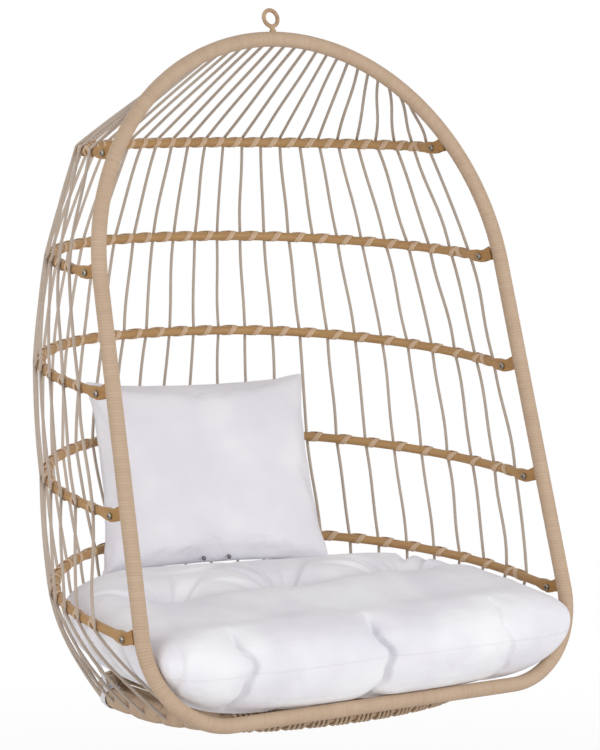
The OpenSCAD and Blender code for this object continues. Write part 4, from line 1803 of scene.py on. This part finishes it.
    def sunk(self, p: np.ndarray) -> np.ndarray:
        """How far each point of the top is pulled down by tufts, folds and the back cushion.

        Args:
            p: Points in the cushion's own frame, one row each.

        Returns:
            The drop of each.
        """
        x, y = p[:, 0], p[:, 1]
        drop = sum(self.tufted(x, y, n) for n in range(len(self.tufts)))
        line = -0.048 + 0.03 * x + 0.010 * np.cos(x * 2 * math.pi / self.tufts[-1][0])
        deep, wide = self.valley
        drop += deep * bell(y - line, wide) * (1 - np.clip(np.abs(x) / 0.42, 0, 1) ** 6)
        deep, line, wide = self.brow
        drop += deep * bell(y - line, wide) * (1 - np.clip(np.abs(x) / self.half, 0, 1) ** 4)
        deep, wide = self.wrinkle
        for cx, cy, length, way in self.wrinkles:
            along = (x - cx) * math.cos(way) + (y - cy) * math.sin(way)
            side = -(x - cx) * math.sin(way) + (y - cy) * math.cos(way) - 2.2 * along**2
            drop += deep * bell(side, wide) * bell(along * 1.6, length)
        cx, cy = self.pressed
        drop += (self.press * np.exp(-(((x - cx) / 0.284) ** 4))
                 * bell(y - cy + 0.2126 * (x - cx), 0.080))
        return drop

    def creased(self, p: np.ndarray, normal: np.ndarray) -> np.ndarray:
        """How far each point near the front is drawn in at the creases.

        Args:
            p: Points in the cushion's own frame, one row each.
            normal: Direction of the cover at each.

        Returns:
            The depth at each.
        """
        x, z = p[:, 0], p[:, 2]
        near = np.clip((self.front + 0.075 - p[:, 1]) / 0.050, 0, 1)
        near = near * near * (3 - 2 * near)
        depth = np.zeros(len(p))
        for n, (cx, deep) in enumerate(self.creases):
            bend = 0.010 * np.sin(z * 42 + 1.2 + n) + 0.004 * np.sin(z * 110 + n)
            d = x - cx - bend
            depth += deep * (fold(d, 0.0085, 0.0040) + 0.55 * bell(d, 0.026))
        depth += 0.008 * fold(x + 0.402 + 0.012 * np.cos(z * 22), 0.014, 0.0045)
        puff = 0.006 * np.cos(z * 26)
        return near * (depth - np.maximum(0, puff) * np.clip(-normal[:, 1], 0, 1))

    def rested(self, p: np.ndarray) -> np.ndarray:
        """Lifts the underside off the hoop, so that the cover bulges over its rail.

        Args:
            p: Points in the chair's frame, one row each.

        Returns:
            The points, those at the rail moved clear of it.
        """
        lay = self.layout
        c, k = math.cos(math.radians(lay.hang)), math.sin(math.radians(lay.hang))
        down, behind = -p[:, 1] * k - p[:, 2] * c, p[:, 1] * c - p[:, 2] * k
        cx, cs = lay.corner
        over = np.stack([np.maximum(np.abs(p[:, 0]) - cx, 0.0), np.maximum(down - cs, 0.0)], 1)
        far = np.hypot(over[:, 0], over[:, 1])
        r = lay.hoop_r + 0.0015
        need = np.sqrt(np.maximum(r * r - behind * behind, 0.0))
        beside_rail = (np.abs(behind) < r) * (down > cs - 0.05)
        push = np.clip(need - (lay.corner_r - far), 0.0, 0.05) * beside_rail
        way = over / (far[:, None] + 1e-9)
        p = p.copy()
        p[:, 0] -= np.sign(p[:, 0]) * way[:, 0] * push
        p[:, 1] += way[:, 1] * push * k
        p[:, 2] += way[:, 1] * push * c
        return p

    def build(self, finish: bpy.types.Material) -> None:
        """Swells a plain cover, then draws in its tufts, creases and folds.

        Args:
            finish: The cloth.
        """
        n, m = 150, 44
        rows = np.array([
            [self.local(2 * math.pi * i / n, math.radians(90.0 * j / m) + 1e-6) for i in range(n)]
            for j in range(-m, m + 1)
        ])
        rows[0, :], rows[-1, :] = rows[0].mean(0), rows[-1].mean(0)
        obj = stuffed(rows, "seat_cushion_cover", voxel=0.0055, cap=0.005)
        p = Swell.points(obj.data)
        normal = np.empty(len(p) * 3)
        obj.data.vertices.foreach_get("normal", normal)
        normal = normal.reshape(-1, 3)
        p[:, 2] -= self.sunk(p) * np.clip(normal[:, 2] * 1.5, 0, 1)
        p -= normal * self.creased(p, normal)[:, None]
        Swell.write(obj, self.rested(self.out(p)))
        clothed(obj, finish)
        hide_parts("seat_cushion")
        settle(obj, "chair")


@dataclass
class BackCushion:
    """Loose back cushion with a plain cover, drawn-in sides and two snap studs.

    Attributes:
        width: Width over the corners.
        height: Height over the corners.
        thick: Thickness in the middle.
        drawn: Share by which the sides draw in between the corners.
        taper: Share by which it widens towards the bottom.
        low: How far it sinks into the seat cushion.
        yaw: Turn about the upright, in degrees.
        lean: Lean to the back, in degrees.
        at: Middle of its lower edge.
        studs_at: Place of each stud, from the cushion's middle.
    """

    width: float = 0.450
    height: float = 0.365
    thick: float = 0.11776
    drawn: float = 0.055
    taper: float = 0.024
    low: float = 0.004
    yaw: float = -12.0
    lean: float = 17.5
    at: Tuple[float, float, float] = (0.011, 0.180, -0.999)
    studs_at: Tuple[Tuple[float, float, float], ...] = (
        (-0.035, -0.022, -0.166), (0.015, -0.022, -0.166)
    )

    def local(self, u: float, v: float, side: float) -> Point:
        """Point of the cover for u and v from -1 to 1: across, out of the plane, up.

        Args:
            u: Place across.
            v: Place upward.
            side: 1 for the front, -1 for the rear.

        Returns:
            The point.
        """
        x = self.width / 2 * u * (1 - self.drawn * (1 - v * v) * abs(u))
        z = self.height / 2 * v * (1 - self.drawn * (1 - u * u) * abs(v))
        y = self.thick / 2 * max(0.0, (1 - abs(u) ** 2.6) * (1 - abs(v) ** 2.6)) ** 0.55
        return np.array([x * (1.0 - self.taper * z / (self.height / 2)), -side * y, z - self.low])

    def matrix(self) -> Matrix:
        """Place of the cushion in the chair.

        Returns:
            Turn and move from the cushion's own frame.
        """
        return (
            Matrix.Translation(self.at)
            @ Matrix.Rotation(math.radians(self.yaw), 4, "Z")
            @ Matrix.Rotation(math.radians(-self.lean), 4, "X")
            @ Matrix.Translation((0.0, 0.0, self.height / 2))
        )

    def build(self, finish: bpy.types.Material, stud: bpy.types.Material) -> None:
        """Swells the cover, softens it and adds the studs.

        Args:
            finish: The cloth.
            stud: The studs' finish.
        """
        n, m = 128, 30
        angles = [2 * math.pi * i / n for i in range(n)]
        rings = []
        for q in np.linspace(-1, 1, 2 * m + 1):
            s = math.sin((1 - abs(q)) * math.pi / 2)
            ring = []
            for a in angles:
                k = s / max(abs(math.cos(a)), abs(math.sin(a)))
                ring.append(self.local(k * math.cos(a), k * math.sin(a), 1.0 if q > 0 else -1.0))
            rings.append(ring)
        obj = stuffed(np.array(rings), "back_cushion_cover", voxel=0.006, cap=0.012)
        p = Swell.points(obj.data)
        x, z = p[:, 0] / (self.width / 2), p[:, 2] / (self.height / 2)
        rim = np.clip(np.maximum(np.abs(x), np.abs(z)) - 0.7, 0, 1) / 0.3
        p[:, 1] += 0.0016 * np.sin(p[:, 0] * 95 + 1.3 * np.sin(p[:, 2] * 30)) * rim
        p[:, 1] += 0.0014 * np.sin(p[:, 2] * 88 + 1.1 * np.sin(p[:, 0] * 26)) * rim
        Swell.write(obj, p)
        obj.data.transform(self.matrix())
        clothed(obj, finish)
        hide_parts("back_cushion")
        settle(obj, "back_cushion")
        self.studs(stud)

    def studs(self, finish: bpy.types.Material) -> None:
        """Two small snap studs near the lower edge.

        Args:
            finish: The studs' finish.
        """
        bpy.ops.object.select_all(action="DESELECT")
        bpy.ops.mesh.primitive_uv_sphere_add(segments=16, ring_count=8, radius=0.0042)
        obj = bpy.context.object
        obj.name = "snap_studs"
        ball = [v.co.copy() for v in obj.data.vertices]
        faces = [tuple(f.vertices) for f in obj.data.polygons]
        points, every = [], []
        for x, y, z in self.studs_at:
            base = len(points)
            points += [(c.x + x, c.y * 0.5 + y, c.z + z) for c in ball]
            every += [tuple(base + k for k in f) for f in faces]
        mesh = bpy.data.meshes.new("snap_studs")
        mesh.from_pydata(points, [], every)
        mesh.polygons.foreach_set("use_smooth", np.ones(len(mesh.polygons), dtype=bool))
        mesh.transform(self.matrix())
        mesh.materials.append(finish)
        obj.data = mesh
        settle(obj, "back_cushion")


@dataclass
class CushionTies:
    """White tapes from the seat cushion to the ring, one each side.

    Attributes:
        layout: Where the pieces lie.
        at: Length along the ring from its back.
        width: Width of the tape.
        over: Radius of the tape's loop over the ring's.
        tail: Steps of the tape's free part, outward and upward from the ring's middle.
        narrow: Share of the width that the tail has at each step, from its upper end.
    """

    layout: Layout
    at: float = 0.382
    width: float = 0.028
    over: float = 0.0068
    tail: Tuple[Tuple[float, float], ...] = (
        (0.030, 0.064), (0.025, 0.055), (0.021, 0.045),
        (0.018, 0.035), (0.0155, 0.0255), (0.0135, 0.0165),
    )
    narrow: Tuple[float, ...] = (1.0, 0.9, 0.8, 0.78, 0.85, 1.0, 1.12)

    def build(self, finish: bpy.types.Material) -> None:
        """Loops each tape round the ring and brings it up to the cushion.

        Args:
            finish: The tape's finish.
        """
        lay = self.layout
        skin = Skin()
        for side in (-1.0, 1.0):
            c, n, z = lay.line_at(RING, side * self.at)
            path = [c + n * a + z * b for a, b in self.tail]
            for a in np.radians(np.linspace(48.0, -305.0, 36)):
                path.append(c + (lay.ring_r + self.over) * spoke(n, z, a))
            wide = np.full(len(path), self.width / 2)
            wide[:len(self.narrow)] *= np.array(self.narrow)
            skin.sweep(np.array(path), np.cross(n, z), wide, 8, flat=0.08)
        obj = skin.piece("cushion_tapes", finish)
        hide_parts("cushion_ties")
        settle(obj, "chair")


# ------------------------------------------------------------------ studio


class Lamp(Enum):
    """Soft lamps: place, size in metres and power in watts."""

    KEY = ((0.1, -4.2, 0.3), 2.8, 75.0)
    FILL = ((3.0, -3.2, -0.4), 3.0, 26.0)
    LEFT = ((-3.8, -0.2, 0.2), 2.6, 50.0)
    TOP = ((0.2, 0.2, 2.6), 2.6, 8.0)
    BACK = ((0.8, 3.2, 0.6), 2.6, 16.0)


@dataclass(frozen=True)
class Studio:
    """Camera, floor, lights and white surroundings.

    Attributes:
        eye: Place of the camera.
        back: Direction from the chair to the camera.
        right: Direction to the right as the camera sees it.
        lens: Focal length in millimetres.
        aim: What the lamps point at.
        floor_z: Height of the floor.
        floor_r: Radius of the floor.
        daylight: Strength of the surroundings as light.
    """

    eye: Tuple[float, float, float] = (-3.3118, -4.5437, -0.1154)
    back: Tuple[float, float, float] = (-0.59392, -0.79935, 0.09110)
    right: Tuple[float, float, float] = (0.80269, -0.59640, 0.0)
    lens: float = 152.6
    aim: Tuple[float, float, float] = (0.0, 0.0, -0.7)
    floor_z: float = -1.62
    floor_r: float = 7.0
    daylight: float = 0.46

    def build(self) -> None:
        """Makes the camera, the floor, the lamps and the world."""
        self.camera()
        self.floor()
        self.lamps()
        self.world()

    def camera(self) -> None:
        """Sets the camera in front, to the sitter's right, a little above the middle."""
        data = bpy.data.cameras.new("camera")
        data.lens, data.sensor_width, data.sensor_fit = self.lens, 36.0, "AUTO"
        obj = bpy.data.objects.new("camera", data)
        bpy.context.scene.collection.objects.link(obj)
        back, right = Vector(self.back).normalized(), Vector(self.right).normalized()
        turn = Matrix((right, back.cross(right), back)).transposed()
        obj.matrix_world = Matrix.Translation(self.eye) @ turn.to_4x4()
        bpy.context.scene.camera = obj

    def floor(self) -> None:
        """Lays a plain pale floor that takes a soft shadow and fades out to white."""
        bpy.ops.object.select_all(action="DESELECT")
        bpy.ops.mesh.primitive_circle_add(
            vertices=96, radius=self.floor_r, fill_type="NGON", location=(0.0, 0.0, self.floor_z)
        )
        floor = bpy.context.object
        floor.name = "studio_floor"
        b = Bench("floor_paint")
        x, y, _ = b.axes(b.place())
        far = ((x * x + y * y) ** 0.5).eased(1.0, 2.6)
        ray = b.node("ShaderNodeLightPath", out="Is Camera Ray")
        matt = b.node("ShaderNodeBsdfDiffuse", None, {"Color": tone(236, 236, 236)})
        glow = b.node("ShaderNodeEmission", None, {"Color": (1, 1, 1, 1), "Strength": 1.0})
        share = ray * (0.88 + 0.12 * far)
        both = b.node("ShaderNodeMixShader", None, {0: share, 1: matt, 2: glow})
        floor.data.materials.append(b.close(both))

    def lamps(self) -> None:
        """Hangs the soft lamps, each aimed at the middle of the chair."""
        for lamp in Lamp:
            place, size, power = lamp.value
            data = bpy.data.lights.new(lamp.name.lower(), "AREA")
            data.energy, data.size = power, size
            obj = bpy.data.objects.new(lamp.name.lower(), data)
            obj.location = place
            way = Vector(self.aim) - Vector(place)
            obj.rotation_euler = way.to_track_quat("-Z", "Y").to_euler()
            bpy.context.scene.collection.objects.link(obj)

    def world(self) -> None:
        """White for what the camera, metal and glass see, softer as light."""
        world = bpy.data.worlds.new("surround")
        bpy.context.scene.world = world
        world.use_nodes = True
        tree = world.node_tree
        tree.nodes.clear()
        path = tree.nodes.new("ShaderNodeLightPath")
        seen = path.outputs["Is Camera Ray"]
        for ray in ("Is Glossy Ray", "Is Transmission Ray"):
            most = tree.nodes.new("ShaderNodeMath")
            most.operation = "MAXIMUM"
            tree.links.new(seen, most.inputs[0])
            tree.links.new(path.outputs[ray], most.inputs[1])
            seen = most.outputs[0]
        mix = tree.nodes.new("ShaderNodeMixShader")
        tree.links.new(seen, mix.inputs[0])
        skies = (((0.99, 0.98, 1.0, 1.0), self.daylight), ((1.0, 1.0, 1.0, 1.0), 1.0))
        for place, (colour, strength) in enumerate(skies, 1):
            sky = tree.nodes.new("ShaderNodeBackground")
            sky.inputs["Color"].default_value = colour
            sky.inputs["Strength"].default_value = strength
            tree.links.new(sky.outputs[0], mix.inputs[place])
        end = tree.nodes.new("ShaderNodeOutputWorld")
        tree.links.new(mix.outputs[0], end.inputs[0])


def main() -> None:
    """Builds the studio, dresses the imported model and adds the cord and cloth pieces."""
    logging.basicConfig(level=logging.INFO, format="%(message)s")
    bpy.context.scene.view_settings.view_transform = "Standard"
    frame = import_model()
    layout = Layout()
    Studio().build()
    Frame(layout, frame["nodes"]).build()
    CordWall(layout).build()
    SeatWebbing(layout, frame["nodes"]).build()
    seat_cloth = CushionCloth("seat_cloth", (0.0, 0.345, 1.085), (-3.5, 0.0, 0.0))
    SeatCushion(layout).build(seat_cloth.make())
    BackCushion().build(CushionCloth("back_cloth", seam_half=0.0).make(), StudFinish().make())
    CushionTies(layout).build(TapeCloth().make())


if __name__ == "__main__":
    main()
